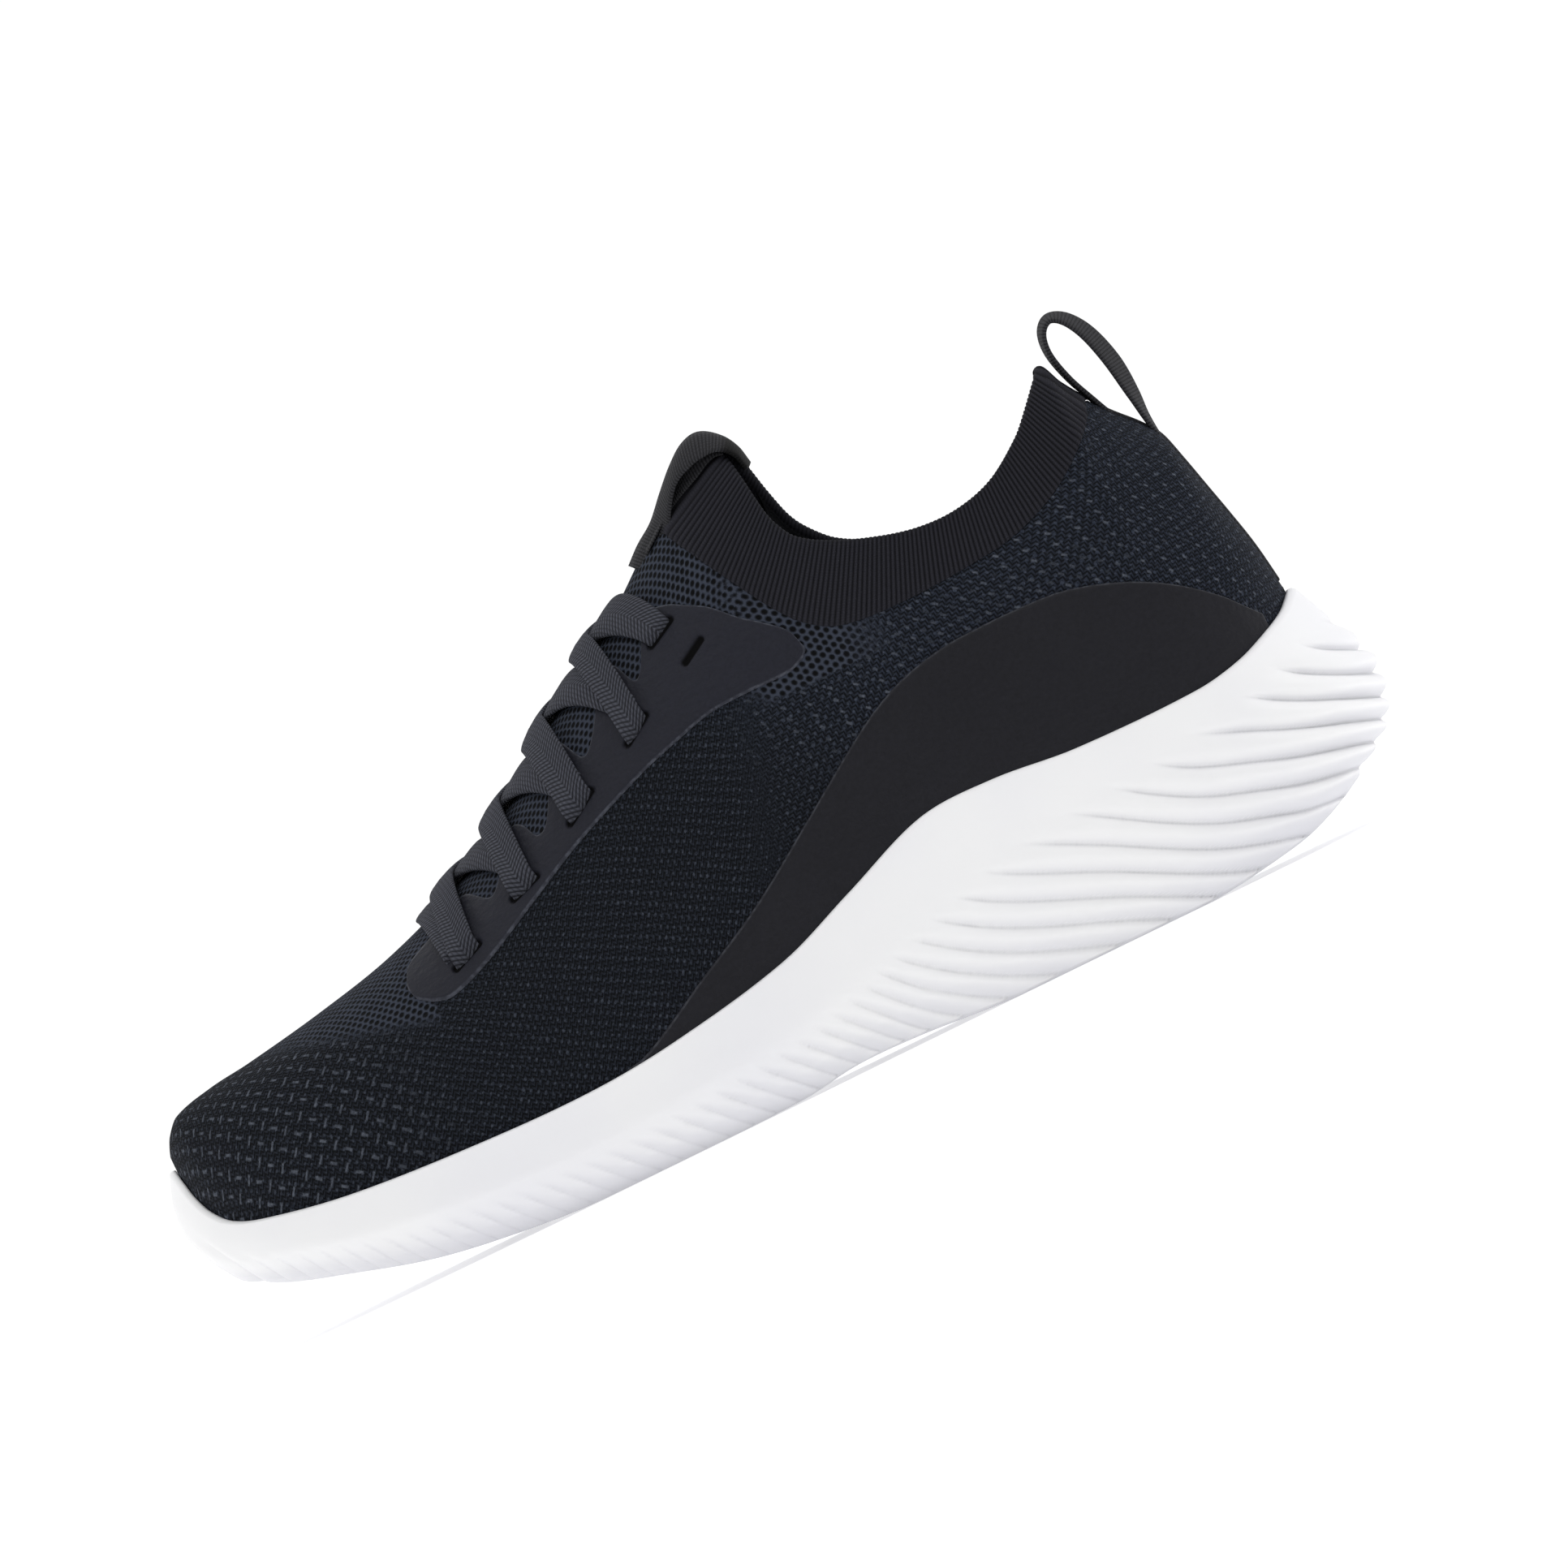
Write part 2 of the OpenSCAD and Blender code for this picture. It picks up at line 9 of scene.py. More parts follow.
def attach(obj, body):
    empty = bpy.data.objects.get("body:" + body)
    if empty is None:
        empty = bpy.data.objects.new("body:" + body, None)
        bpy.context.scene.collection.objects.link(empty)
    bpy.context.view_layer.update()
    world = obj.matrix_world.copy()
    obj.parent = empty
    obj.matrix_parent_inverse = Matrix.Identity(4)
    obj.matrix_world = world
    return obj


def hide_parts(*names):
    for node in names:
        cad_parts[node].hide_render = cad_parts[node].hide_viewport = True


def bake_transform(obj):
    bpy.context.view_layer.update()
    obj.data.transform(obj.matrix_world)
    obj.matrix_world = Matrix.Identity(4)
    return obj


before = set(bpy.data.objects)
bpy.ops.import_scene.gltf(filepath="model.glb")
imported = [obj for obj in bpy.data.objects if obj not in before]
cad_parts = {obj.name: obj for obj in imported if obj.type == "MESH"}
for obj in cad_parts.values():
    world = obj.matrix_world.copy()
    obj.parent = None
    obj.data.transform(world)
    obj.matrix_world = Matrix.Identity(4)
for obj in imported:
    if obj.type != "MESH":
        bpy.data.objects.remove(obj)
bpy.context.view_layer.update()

scene = bpy.context.scene
scene.view_settings.view_transform = "Standard"

# ------------------------------------------------
# Camera. It looks square at the outer side, tilted so that the shoe stands
# toe-down on the page.
# ------------------------------------------------
MM = 0.001
TILT = math.radians(26)
AIM = Vector((17.8, 0, 66.4)) * MM
VIEW_WIDTH = 0.3563
LENS_MM, SENSOR_MM = 400, 36

right = Vector((math.cos(TILT), 0, -math.sin(TILT)))
up = Vector((math.sin(TILT), 0, math.cos(TILT)))
NEAR_SIDE = 0.012  # how far in front of the middle plane the view is VIEW_WIDTH wide
distance = VIEW_WIDTH * LENS_MM / SENSOR_MM + NEAR_SIDE
camera = bpy.data.objects.new("camera", bpy.data.cameras.new("camera"))
scene.collection.objects.link(camera)
camera.data.lens = LENS_MM
camera.data.sensor_width = SENSOR_MM
camera.data.clip_start = 0.05
turn = Matrix((right, up, right.cross(up))).transposed().to_4x4()
camera.matrix_world = Matrix.Translation(AIM + Vector((0, -distance, 0))) @ turn
scene.camera = camera


# ------------------------------------------------
# Midsole. One piece of injection-moulded white foam that cups the foot, with
# curved ribs moulded into its wall. The upper is cemented inside its rim.
# On the shoe it bends at the ball of the foot; here it is one fixed piece that crosses the flex line.
# ------------------------------------------------
class Wire:
    """One shader value, with ordinary arithmetic."""

    def __init__(self, finish, socket):
        self.finish, self.socket = finish, socket

    def math(self, how, *others, turned=False):
        parts = [*others, self] if turned else [self, *others]
        return self.finish.node("ShaderNodeMath", {"operation": how}, dict(enumerate(parts)))

    def __add__(self, other):
        return self.math("ADD", other)

    def __sub__(self, other):
        return self.math("SUBTRACT", other)

    def __rsub__(self, other):
        return self.math("SUBTRACT", other, turned=True)

    def __mul__(self, other):
        return self.math("MULTIPLY", other)

    def __truediv__(self, other):
        return self.math("DIVIDE", other)

    __radd__, __rmul__ = __add__, __mul__

    def wave(self):
        """0 at whole numbers, 1 half way between them."""
        return (self * math.pi).math("SINE").math("ABSOLUTE")

    def offset(self):
        """Place in each unit cell, -0.5 to 0.5."""
        return self.math("FRACT") - 0.5

    def cell(self):
        """Distance from the middle of each unit cell, 0 to 0.5."""
        return self.offset().math("ABSOLUTE")

    def ramp(self, low, high):
        """0 below low, 1 above high, smooth between."""
        ends = {"Value": self, "From Min": low, "From Max": high}
        how = {"interpolation_type": "SMOOTHSTEP", "clamp": True}
        if low > high:
            ends = {"Value": self, "From Min": high, "From Max": low, "To Min": 1.0, "To Max": 0.0}
        return self.finish.node("ShaderNodeMapRange", how, ends)


class Finish:
    """A material. node() adds any shader node and gives its output."""

    def __init__(self, name, **constants):
        self.material = bpy.data.materials.new(name)
        self.material.use_nodes = True
        self.tree = self.material.node_tree
        self.surface = self.tree.nodes["Principled BSDF"]
        for socket, value in constants.items():
            self.surface.inputs[socket.replace("_", " ")].default_value = value

    def node(self, kind, settings=None, sockets=None, out=0):
        made = self.tree.nodes.new(kind)
        for name, value in (settings or {}).items():
            setattr(made, name, value)
        for name, value in (sockets or {}).items():
            self.put(made.inputs[name], value)
        return Wire(self, made.outputs[out])

    def put(self, socket, value):
        if isinstance(value, Wire):
            self.tree.links.new(value.socket, socket)
        else:
            socket.default_value = value

    def read(self, name):
        """The three values that the mesh carries at each point under this name."""
        at = self.node("ShaderNodeAttribute", {"attribute_name": name}, out="Vector")
        return [self.node("ShaderNodeSeparateXYZ", {}, {"Vector": at}, out=k) for k in range(3)]

    def noise(self, scale, detail=2.0, stretch=(1, 1, 1)):
        at = self.node("ShaderNodeTexCoord", out="Object")
        spread = self.node("ShaderNodeMapping", {}, {"Vector": at, "Scale": stretch})
        made = {"Vector": spread, "Scale": scale, "Detail": detail}
        return self.node("ShaderNodeTexNoise", {}, made)

    def mix(self, share, a, b):
        colours = {0: share, 6: a, 7: b}
        return self.node("ShaderNodeMix", {"data_type": "RGBA"}, colours, out=2)

    def bump(self, height, depth_mm, strength=1.0):
        made = {"Height": height, "Distance": depth_mm * MM, "Strength": strength}
        self.put(self.surface.inputs["Normal"], self.node("ShaderNodeBump", {}, made))

    def colour(self, value):
        self.put(self.surface.inputs["Base Color"], value)

    def rough(self, value):
        self.put(self.surface.inputs["Roughness"], value)


def tone(red, green, blue):
    """A linear colour from the 0-255 values of a swatch."""
    linear = [((c / 255 + 0.055) / 1.055) ** 2.4 for c in (red, green, blue)]
    return (*linear, 1.0)


def curve(points, x):
    """Smooth curve through a few points."""
    px, py = np.array(points, float).T
    x = np.asarray(x, float)
    i = np.clip(np.searchsorted(px, x, side="right") - 1, 0, len(px) - 2)
    after = np.minimum(np.arange(len(px)) + 1, len(px) - 1)
    before = np.maximum(np.arange(len(px)) - 1, 0)
    slope = (py[after] - py[before]) / (px[after] - px[before])
    h = px[i + 1] - px[i]
    t = np.clip((x - px[i]) / h, 0, 1)
    return ((2 * t**3 - 3 * t**2 + 1) * py[i] + (t**3 - 2 * t**2 + t) * h * slope[i]
            + (3 * t**2 - 2 * t**3) * py[i + 1] + (t**3 - t**2) * h * slope[i + 1])


def smooth(x, low, high):
    """0 at low, 1 at high, easing in and out."""
    t = np.clip((x - low) / (high - low), 0, 1)
    return t * t * (3 - 2 * t)


def mix(a, b, t):
    """a at t 0, b at t 1."""
    return a + (b - a) * t


HALF_WIDTH = [(0, 0), (0.1, 25.5), (0.2, 43), (0.3, 52), (0.37, 54), (0.45, 50.5), (0.55, 42),
              (0.62, 39.5), (0.7, 41), (0.77, 42.8), (0.83, 39.5), (0.9, 28), (1, 0)]
BALL_HALF = 54
SWING = [(-150, 7), (-120, 4.34), (-90, 1.96), (-60, 0.35), (-20, -1.4), (30, -2.45), (90, -0.7),
         (150, 0)]
BOTTOM = [(-150, 26), (-146, 22), (-139, 17), (-133, 14), (-120, 10), (-100, 4.5), (-80, 1.5),
          (-60, 0), (-10, 0.3), (5, 2), (20, 1.8), (45, 0), (92, 0), (110, 2), (122, 4.5),
          (136, 10.5), (150, 18)]
FEATHER = [(-146, 49), (-145, 45), (-144, 41), (-142, 36.5), (-138, 32.3), (-130, 29.5),
           (-110, 26), (-80, 23.8), (-52, 23.2), (-30, 25), (0, 30.5), (20, 38), (42, 46.2),
           (60, 46.8), (80, 44.8), (110, 44.6), (122, 46.6), (131, 50), (136, 52.5), (140, 56)]
FOOTBED = [(-138, 29), (-120, 21.5), (-100, 17.5), (-80, 15.6), (-50, 15), (0, 17), (50, 23),
           (100, 27), (135, 28.5)]
# The wall at five heights: toe end, heel end, inset at the ball
WALL_HEIGHT = (0.01, 0.2, 0.5, 0.75, 1.0)
WALL_TOE = (-139, -146.3, -150, -149.8, -147.2)
WALL_HEEL = (136, 147.5, 151, 146.8, 141.8)
WALL_INSET = (8, 2.8, 0, 1.2, 3.2)
RIM, LEDGE, BED = (-145.8, 140, 4.6), (-141, 135, 9.5), (-134, 130, 13)
PAD_DEPTH = 2.2
WELD_MM = 0.01
# Rib phase along the shoe (a groove at each whole number) and how high the ribs reach
RIB_PHASE = [(-150, -34), (-90, -19.6), (15, -1), (27.5, 1), (47, 3), (76, 5), (101, 7), (120, 8),
             (137, 9), (150, 9.9)]
RIB_TOP = [(-150, 35), (-146, 31), (-139, 24), (-120, 17), (-100, 12), (-60, 9), (-30, 11),
           (-10, 13), (5, 16), (25, 23), (45, 29), (60, 32), (80, 34), (100, 36), (125, 41),
           (150, 49)]
RIB_DEPTH = [(-150, 1.1), (-60, 0.9), (0, 1.1), (30, 1.4), (60, 1.8), (110, 2.2), (150, 2.8)]


def half_breadth(s, inset):
    """Half the width of a plan outline, drawn in by inset mm at the ball."""
    return curve(HALF_WIDTH, s) * (BALL_HALF - inset) / BALL_HALF


def contour(ends, s, side):
    """A closed plan outline: toe end, heel end and inset at the ball; s runs toe to heel."""
    toe, heel, inset = ends
    x = (toe + heel) / 2 - (heel - toe) / 2 * np.cos(np.pi * s)
    y = np.maximum(half_breadth(s, inset), 0)
    return x, side * y + curve(SWING, x)


def station(x, toe, heel):
    """How far along an outline x is, 0 at its toe end to 1 at its heel end."""
    return np.arccos(np.clip((toe + heel - 2 * x) / (heel - toe), -1, 1)) / np.pi


def weld(mesh):
    """Joins the seams between grids and turns the faces outwards."""
    work = bmesh.new()
    work.from_mesh(mesh)
    bmesh.ops.remove_doubles(work, verts=work.verts, dist=WELD_MM * MM)
    bmesh.ops.dissolve_degenerate(work, edges=work.edges, dist=1e-7)
    bmesh.ops.recalc_face_normals(work, faces=work.faces)
    work.to_mesh(mesh)
    work.free()


def make_piece(name, parts, finish, carried=None, welded=True):
    """One mesh from grids of points in mm. Each part is (grid, closed along, closed across)."""
    points, faces, extra = [], [], []
    for grid, closed_i, closed_j in parts:
        rows, columns = grid.shape[:2]
        start = sum(len(p) for p in points)
        points.append(grid[..., :3].reshape(-1, 3))
        extra.append(grid[..., 3:].reshape(rows * columns, -1))
        number = start + np.arange(rows * columns).reshape(rows, columns)
        i = np.arange(rows if closed_i else rows - 1)[:, None]
        j = np.arange(columns if closed_j else columns - 1)[None, :]
        after_i, after_j = (i + 1) % rows, (j + 1) % columns
        quads = np.stack([number[i, j], number[after_i, j], number[after_i, after_j],
                          number[i, after_j]], axis=-1)
        faces.append(quads.reshape(-1, 4))
    mesh = bpy.data.meshes.new(name)
    mesh.from_pydata((np.concatenate(points) * MM).tolist(), [], np.concatenate(faces).tolist())
    for k, label in enumerate(carried or []):
        layer = mesh.attributes.new(label, "FLOAT_VECTOR", "POINT")
        values = np.concatenate(extra)[:, 3 * k:3 * k + 3]
        layer.data.foreach_set("vector", np.ascontiguousarray(values, np.float32).ravel())
    if welded:
        weld(mesh)
    mesh.polygons.foreach_set("use_smooth", [True] * len(mesh.polygons))
    mesh.materials.append(finish.material)
    piece = bpy.data.objects.new(name, mesh)
    scene.collection.objects.link(piece)
    return piece


def foam_point(s, side, height, cut):
    """A point of the wall at a height from 0 (bottom) to 1 (rim), cut back by some mm."""
    ends = [curve(list(zip(WALL_HEIGHT, w)), height) for w in (WALL_TOE, WALL_HEEL, WALL_INSET)]
    x, y = contour((ends[0] + cut, ends[1] - cut, ends[2] + cut), s, side)
    base = np.maximum(curve(BOTTOM, contour((WALL_TOE[0], WALL_HEEL[0], 0), s, 1)[0]), 0)
    rim = curve(FEATHER, contour(RIM, s, 1)[0])
    return np.stack([x, y, mix(base, rim, height)], -1)


def rib_cut(place):
    """Depth of the ribs' grooves in mm; they fan out round the heel."""
    x, z = place[..., 0], place[..., 2]
    phase = curve(RIB_PHASE, x) + 0.165 * (z - 10) - 0.0009 * (z - 10) ** 2
    phase = phase + 0.04 * (z - 28) * smooth(x, 118, 146)
    lobe = np.abs(np.sin(np.pi * phase)) ** 0.7
    top = curve(RIB_TOP, x)
    reach = smooth(z, top + 1.5, top - 3 - 0.1 * top)
    return curve(RIB_DEPTH, x) * reach * (0.7 - lobe)


def foam_grid(side, stations=760, rows=96):
    """One half of the foam: under the foot, up the wall, over the rim and down inside."""
    s = np.linspace(0, 1, stations)
    zero = np.zeros(stations)
    bottom_x, bottom_y = contour((WALL_TOE[0], WALL_HEEL[0], WALL_INSET[0]), s, side)
    middle = curve(SWING, bottom_x)
    base = np.maximum(curve(BOTTOM, bottom_x), 0)
    rim = curve(FEATHER, contour(RIM, s, 1)[0])
    half = bottom_y - middle
    columns = [np.stack([bottom_x, middle + half * f, base + rise], -1)
               for f, rise in ((0, PAD_DEPTH), (0.4, PAD_DEPTH), (0.72, PAD_DEPTH),
                               (0.74, PAD_DEPTH - 0.3), (0.755, 0.4), (0.775, 0.02), (0.9, 0.02))]
    # The groove depths go with the mesh as its rib values, for the painted shade in the grooves
    shade = [zero] * len(columns)
    for height in np.linspace(0.01, 0.985, rows):
        cut = rib_cut(foam_point(s, side, height + zero, 0))
        columns.append(foam_point(s, side, height + zero, cut))
        shade.append(cut)
    top_outer = foam_point(s, side, 1 + zero, 0)
    for share, drop in ((0.25, 0.15), (0.6, 0), (1, 0.15)):
        x, y = contour(RIM, s, side)
        columns.append(np.stack([mix(top_outer[:, 0], x, share), mix(top_outer[:, 1], y, share),
                                 rim - drop], -1))
    for ends, height in ((RIM, rim - 3), (LEDGE, rim - 3.2)):
        x, y = contour(ends, s, side)
        columns.append(np.stack([x, y, height], -1))
    x, y = contour(BED, s, side)
    columns.append(np.stack([x, y, curve(FOOTBED, x)], -1))
    columns.append(np.stack([x, curve(SWING, x), curve(FOOTBED, x)], -1))
    shade += [zero] * (len(columns) - len(shade))
    carried = np.stack([np.stack(shade, 1)] + [np.zeros((stations, len(columns)))] * 2, -1)
    return np.concatenate([np.stack(columns, 1), carried], -1)


foam = Finish("foam", Roughness=0.42, Specular_IOR_Level=0.4)
grain = foam.noise(900, 3)
cloud = foam.noise(18, 2)
groove, _, _ = foam.read("rib")
# Painted shade under the sole: the more a face turns downwards, the greyer it is painted
facing = foam.node("ShaderNodeNewGeometry", out="Normal")
below = foam.node("ShaderNodeSeparateXYZ", {}, {"Vector": facing}, out=2).ramp(-0.1, -0.9)
white = foam.mix(cloud.ramp(0.3, 0.7), tone(247, 247, 251), tone(253, 253, 254))
# Painted shade: the rib grooves are painted greyer the deeper they are cut
white = foam.mix(groove.ramp(0.1, 1.4) * 0.3, white, tone(196, 196, 204))
# Painted shade on the faces that turn downwards
foam.colour(foam.mix(below * 0.7, white, tone(206, 206, 212)))
foam.rough(0.36 + grain * 0.16)
foam.bump(grain, 0.05, 0.4)
foam.surface.inputs["Subsurface Weight"].default_value = 0.12
foam.surface.inputs["Subsurface Radius"].default_value = (0.004, 0.004, 0.004)
foam.surface.inputs["Subsurface Scale"].default_value = 0.5
midsole = make_piece("midsole", [(foam_grid(-1), False, False), (foam_grid(1), False, False)], foam,
                     ["rib"])
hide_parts("midsole_rear", "midsole_forefoot")
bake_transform(midsole)


# ------------------------------------------------
# Outsole pads. Three pads of harder white rubber with moulded chevron lugs,
# cemented into the recess under the foam so that they take the wear.
# ------------------------------------------------
LUG_PITCH, LUG_DEPTH = 7.5, 1.3


def rim_of(a, b):
    """The four edge strips that close two matching grids."""
    pairs = ((a[0], b[0]), (a[-1], b[-1]), (a[:, 0], b[:, 0]), (a[:, -1], b[:, -1]))
    return [(np.stack([p, q], 0), False, False) for p, q in pairs]


def pad_piece(name, x0, x1, body):
    """A pad from x0 to x1 with chevron lugs and two furrows along it."""
    x, across = np.meshgrid(np.linspace(x0, x1, int((x1 - x0) / 0.8)), np.linspace(-1, 1, 81),
                            indexing="ij")
    width = half_breadth(station(x, WALL_TOE[0], WALL_HEEL[0]), WALL_INSET[0]) * 0.7
    edge = smooth(1 - np.abs(across), 0, 0.03)
    end = smooth(np.minimum(x - x0, x1 - x), 0, 1.2)
    y = across * width
    chevron = np.abs((((x + np.abs(y) * 0.45) / LUG_PITCH) % 1) - 0.5) * 2
    furrow = smooth(np.abs(np.abs(y) - width * 0.45), 1.4, 0.8)
    groove = LUG_DEPTH * np.minimum(smooth(chevron, 0.72, 0.88) + furrow, 1)
    base = np.maximum(curve(BOTTOM, x), 0)
    low = base + groove + 0.5 * (1 - edge * end)
    sway = curve(SWING, x)
    under = np.stack([x, y + sway, low], -1)
    over = np.stack([x, y + sway, base + PAD_DEPTH - 0.15], -1)
    piece = make_piece(name, [(under, False, False), (over, False, False), *rim_of(under, over)],
                       rubber)
    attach(piece, body)
    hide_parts(name)


rubber = Finish("outsole_rubber", Roughness=0.6)
speckle = rubber.noise(1400, 2)
rubber.colour(rubber.mix(speckle.ramp(0.35, 0.7), tone(226, 226, 231), tone(240, 240, 243)))
rubber.bump(speckle, 0.06, 0.5)
pad_piece("outsole_heel_pad", 58, 124, "rearfoot")
pad_piece("outsole_ball_pad", -74, 8, "rearfoot")
pad_piece("outsole_toe_pad", -130, -86, "forefoot")


# ------------------------------------------------
# Boards. The strobel board under the footbed, the toe puff and the heel
# counter are cut from grey felt board and cemented in, out of sight.
# ------------------------------------------------
felt = Finish("felt_board", Roughness=0.9)
fibre = felt.noise(1200, 4)
felt.colour(felt.mix(fibre, tone(120, 120, 122), tone(165, 165, 168)))
felt.bump(fibre, 0.15, 0.7)
for name in ("strobel_rear", "strobel_forefoot", "toe_puff", "heel_counter"):
    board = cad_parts[name]
    board.data.materials.clear()
    board.data.materials.append(felt.material)


# ------------------------------------------------
# Knit upper. One engineered-knit bootie, near-black navy: open honeycomb mesh
# over the toes and under the laces, dense knit on the sides, with rows of
# lighter float stitches at the toe and the heel. It is lasted under the foot.
# On the shoe it creases over the ball when the toe lifts; here it is one fixed piece.
# ------------------------------------------------
RIDGE = [(-146, 49.5), (-145, 52.5), (-143.5, 55.5), (-140, 59), (-130, 61.5), (-120, 62.7),
         (-100, 66), (-80, 70.5), (-60, 78), (-40, 90), (-20, 105), (0, 118.5), (20, 134),
         (30, 139), (37.5, 141.5), (50, 133), (65, 124), (85, 121.5), (100, 123.5), (111.5, 126),
         (114, 121), (118, 115), (122, 110), (127, 104.5), (130, 100), (132, 93), (134, 85),
         (136, 77), (138, 68), (139.6, 57)]
COLLAR = [(37.5, 141.5), (38.5, 135), (40, 124), (41.5, 119), (44, 115), (50, 111), (60, 107),
          (70, 104.5), (80, 104.3), (90, 107), (100, 113.5), (105, 118.5), (111.5, 126)]
RIB_EDGE = [(17, 131.7), (22, 122), (27, 113), (33, 103), (38, 97), (45, 93), (60, 91.6), (80, 92.6),
            (90, 94.2), (100, 98), (108, 103), (114.5, 109), (118.5, 114.3)]
ROUND = [(-146, 2.4), (-110, 2.3), (-60, 2.05), (0, 1.95), (40, 1.9), (100, 2), (140, 2.1)]
KNIT_ENDS = (-145.5, 139.7, 4.9)
KNIT_THICK = 2.4


def ridge_z(x):
    """Height of the upper's middle line."""
    return np.maximum(curve(RIDGE, x), curve(FEATHER, x) + 0.4)


def bare_skin(x, angle, side):
    """The upper's outer face before the toe swings in: angle 0 at the rim, 90 at the ridge."""
    toe, heel, inset = KNIT_ENDS
    width = half_breadth(station(x, toe, heel), inset)
    power = 2 / curve(ROUND, x)
    low, a = curve(FEATHER, x), np.radians(angle)
    return np.stack([x, side * width * np.maximum(np.cos(a), 0) ** power,
                     low + (ridge_z(x) - low) * np.maximum(np.sin(a), 0) ** power], -1)


def angle_at(x, z):
    """The angle on the upper at a height in the side view."""
    low = curve(FEATHER, x)
    t = np.clip((z - low) / (ridge_z(x) - low), 0, 1)
    return np.degrees(np.arcsin(np.minimum(t ** (curve(ROUND, x) / 2), 1)))


def outward(x, angle, side):
    """Direction square to the upper."""
    a = np.minimum(angle, 89.2)
    along = (bare_skin(np.minimum(x + 0.4, 139.5), a, side)
             - bare_skin(np.maximum(x - 0.4, -145.4), a, side))
    upward = bare_skin(x, a + 0.7, side) - bare_skin(x, np.maximum(a - 0.7, 0), side)
    n = np.cross(upward, along) * np.expand_dims(side * np.ones_like(x), -1)
    n[..., 1] *= np.where(angle >= 89.99, 0, 1)
    return n / np.maximum(np.linalg.norm(n, axis=-1, keepdims=True), 1e-9)


def skin(x, angle, side, lift=0.0):
    """A point of the upper, raised by lift mm."""
    x, angle = np.broadcast_arrays(np.asarray(x, float), np.asarray(angle, float))
    lift = np.broadcast_to(lift, x.shape)
    p = bare_skin(x, angle, side) + outward(x, angle, side) * lift[..., None]
    p[..., 1] += curve(SWING, p[..., 0])
    return p


def run(points, axis):
    """Length along a line or a grid of points, from its start."""
    step = np.linalg.norm(np.diff(points, axis=axis), axis=-1)
    return np.concatenate([np.zeros_like(np.take(step, [0], axis=axis)), np.cumsum(step, axis)], axis)


def knit_top(x):
    """Height of the knit's edge: a little way under the rib band, elsewhere the ridge."""
    return np.where((x < 17.2) | (x > 118.3), ridge_z(x), curve(RIB_EDGE, x) + 1.5)


def knit_grid(side, stations=420, columns=76):
    toe, heel = KNIT_ENDS[:2]
    s = np.linspace(0.004, 0.996, stations)
    x = ((toe + heel) / 2 - (heel - toe) / 2 * np.cos(np.pi * s))[:, None] * np.ones(columns)
    angle = angle_at(x, knit_top(x)) * np.linspace(0, 1, columns)[None, :] ** 0.9
    face = skin(x, angle, side)
    hem = face[:, :1] - [0, 0, 3.0]
    full = skin(x[:, :1] * np.ones(60), np.linspace(90, 0, 60) * np.ones((stations, 1)), side)
    girth = run(full, 1)[:, ::-1]
    down = np.stack([np.interp(angle[i], np.linspace(0, 90, 60), girth[i]) for i in range(stations)])
    length = run(skin(x[:, :1], 40 + 0 * x[:, :1], side), 0) * np.ones(columns)
    z = face[..., 2]
    # Where the open mesh is: over the toes, under the laces and behind the eyestay
    over_toes = smooth(z, 63.5 - 0.26 * (x + 125), 67.5 - 0.26 * (x + 125)) * smooth(x, -132, -112)
    throat = smooth(z - curve(EYE_TOP, np.clip(x, -79, 35.5)), -6, -2) * (x < 12)
    behind = smooth(x + 0.75 * (z - 100), 8, 14) * smooth(x - 0.2 * (z - 100), 62, 44) * (x > 5)
    open_mesh = np.clip(np.maximum(np.where(x < -75, over_toes, throat), behind * (z > 84)), 0, 1)
    toe_floats = smooth(x, -70, -112) * (1 - open_mesh)
    heel_floats = smooth(x + 0.9 * (z - 60), 10, 70) * (1 - open_mesh)
    # On the heel the rows of the cloth fall towards the back
    wrapped = x + 0.8 * (38 - np.abs(face[..., 1] - curve(SWING, x)))
    back = smooth(x - 0.3 * (z - 80), 8, 24)
    heel_rows = [0.75 * wrapped - 0.66 * z, 0.66 * wrapped + 0.75 * z, back]
    carried = np.stack([length, down, 0 * x, open_mesh, toe_floats, heel_floats, *heel_rows], -1)
    grid = np.concatenate([face, carried], -1)
    foot = np.concatenate([hem, carried[:, :1]], -1)
    return np.concatenate([foot, grid], 1)


EYE_TOP = [(-79, 62.5), (-77, 66.3), (-70, 70), (-59, 74.3), (-48, 77.6), (-38, 80.5), (-29, 85.5),
           (-20, 91), (-11, 96), (-2, 102), (3, 109), (8, 115.3), (15, 113), (20, 110), (25, 105),
           (30, 101), (34, 97), (35.5, 92.5)]

knit = Finish("knit", Roughness=0.9, Specular_IOR_Level=0.12)
length, down, _ = knit.read("cloth")
heel_along, heel_down, back = knit.read("heel_cloth")
open_mesh, toe_floats, heel_floats = knit.read("zone")
jitter = knit.noise(260, 2) - 0.5


def blended(make):
    """The same pattern in the rows of the vamp and in those of the heel, by place."""
    front, rear = make(length, down), make(heel_along, heel_down)
    return front + (rear - front) * back


def staggered(wide, tall, u, v):
    """Distance in mm from the middles of a brick pattern of cells."""
    course = v / tall
    dx = (u / wide + course.math("FLOOR") * 0.5).cell() * wide
    dy = course.cell() * tall
    return (dx * dx + dy * dy).math("SQRT")


# Honeycomb mesh: small holes between fat yarns
MESH_HOLE = (2.0, 1.6)
mesh_height = (blended(lambda u, v: staggered(*MESH_HOLE, u, v)) + jitter * 0.4).ramp(0.38, 0.85)
# Dense knit: small chevron stitches with a raised pip in each
COURSE, WALE, PIP = 1.15, 1.5, (2.9, 1.45)
dense = blended(lambda u, v: (v / COURSE + (u / WALE).cell() * 1.5 + jitter * 0.4).wave()
                * (0.4 + (u / WALE).wave() * 0.6))
pips = (blended(lambda u, v: staggered(*PIP, u, v)) + jitter * 0.5).ramp(0.62, 0.28)
dense_height = dense.math("MAXIMUM", pips * 1.1)
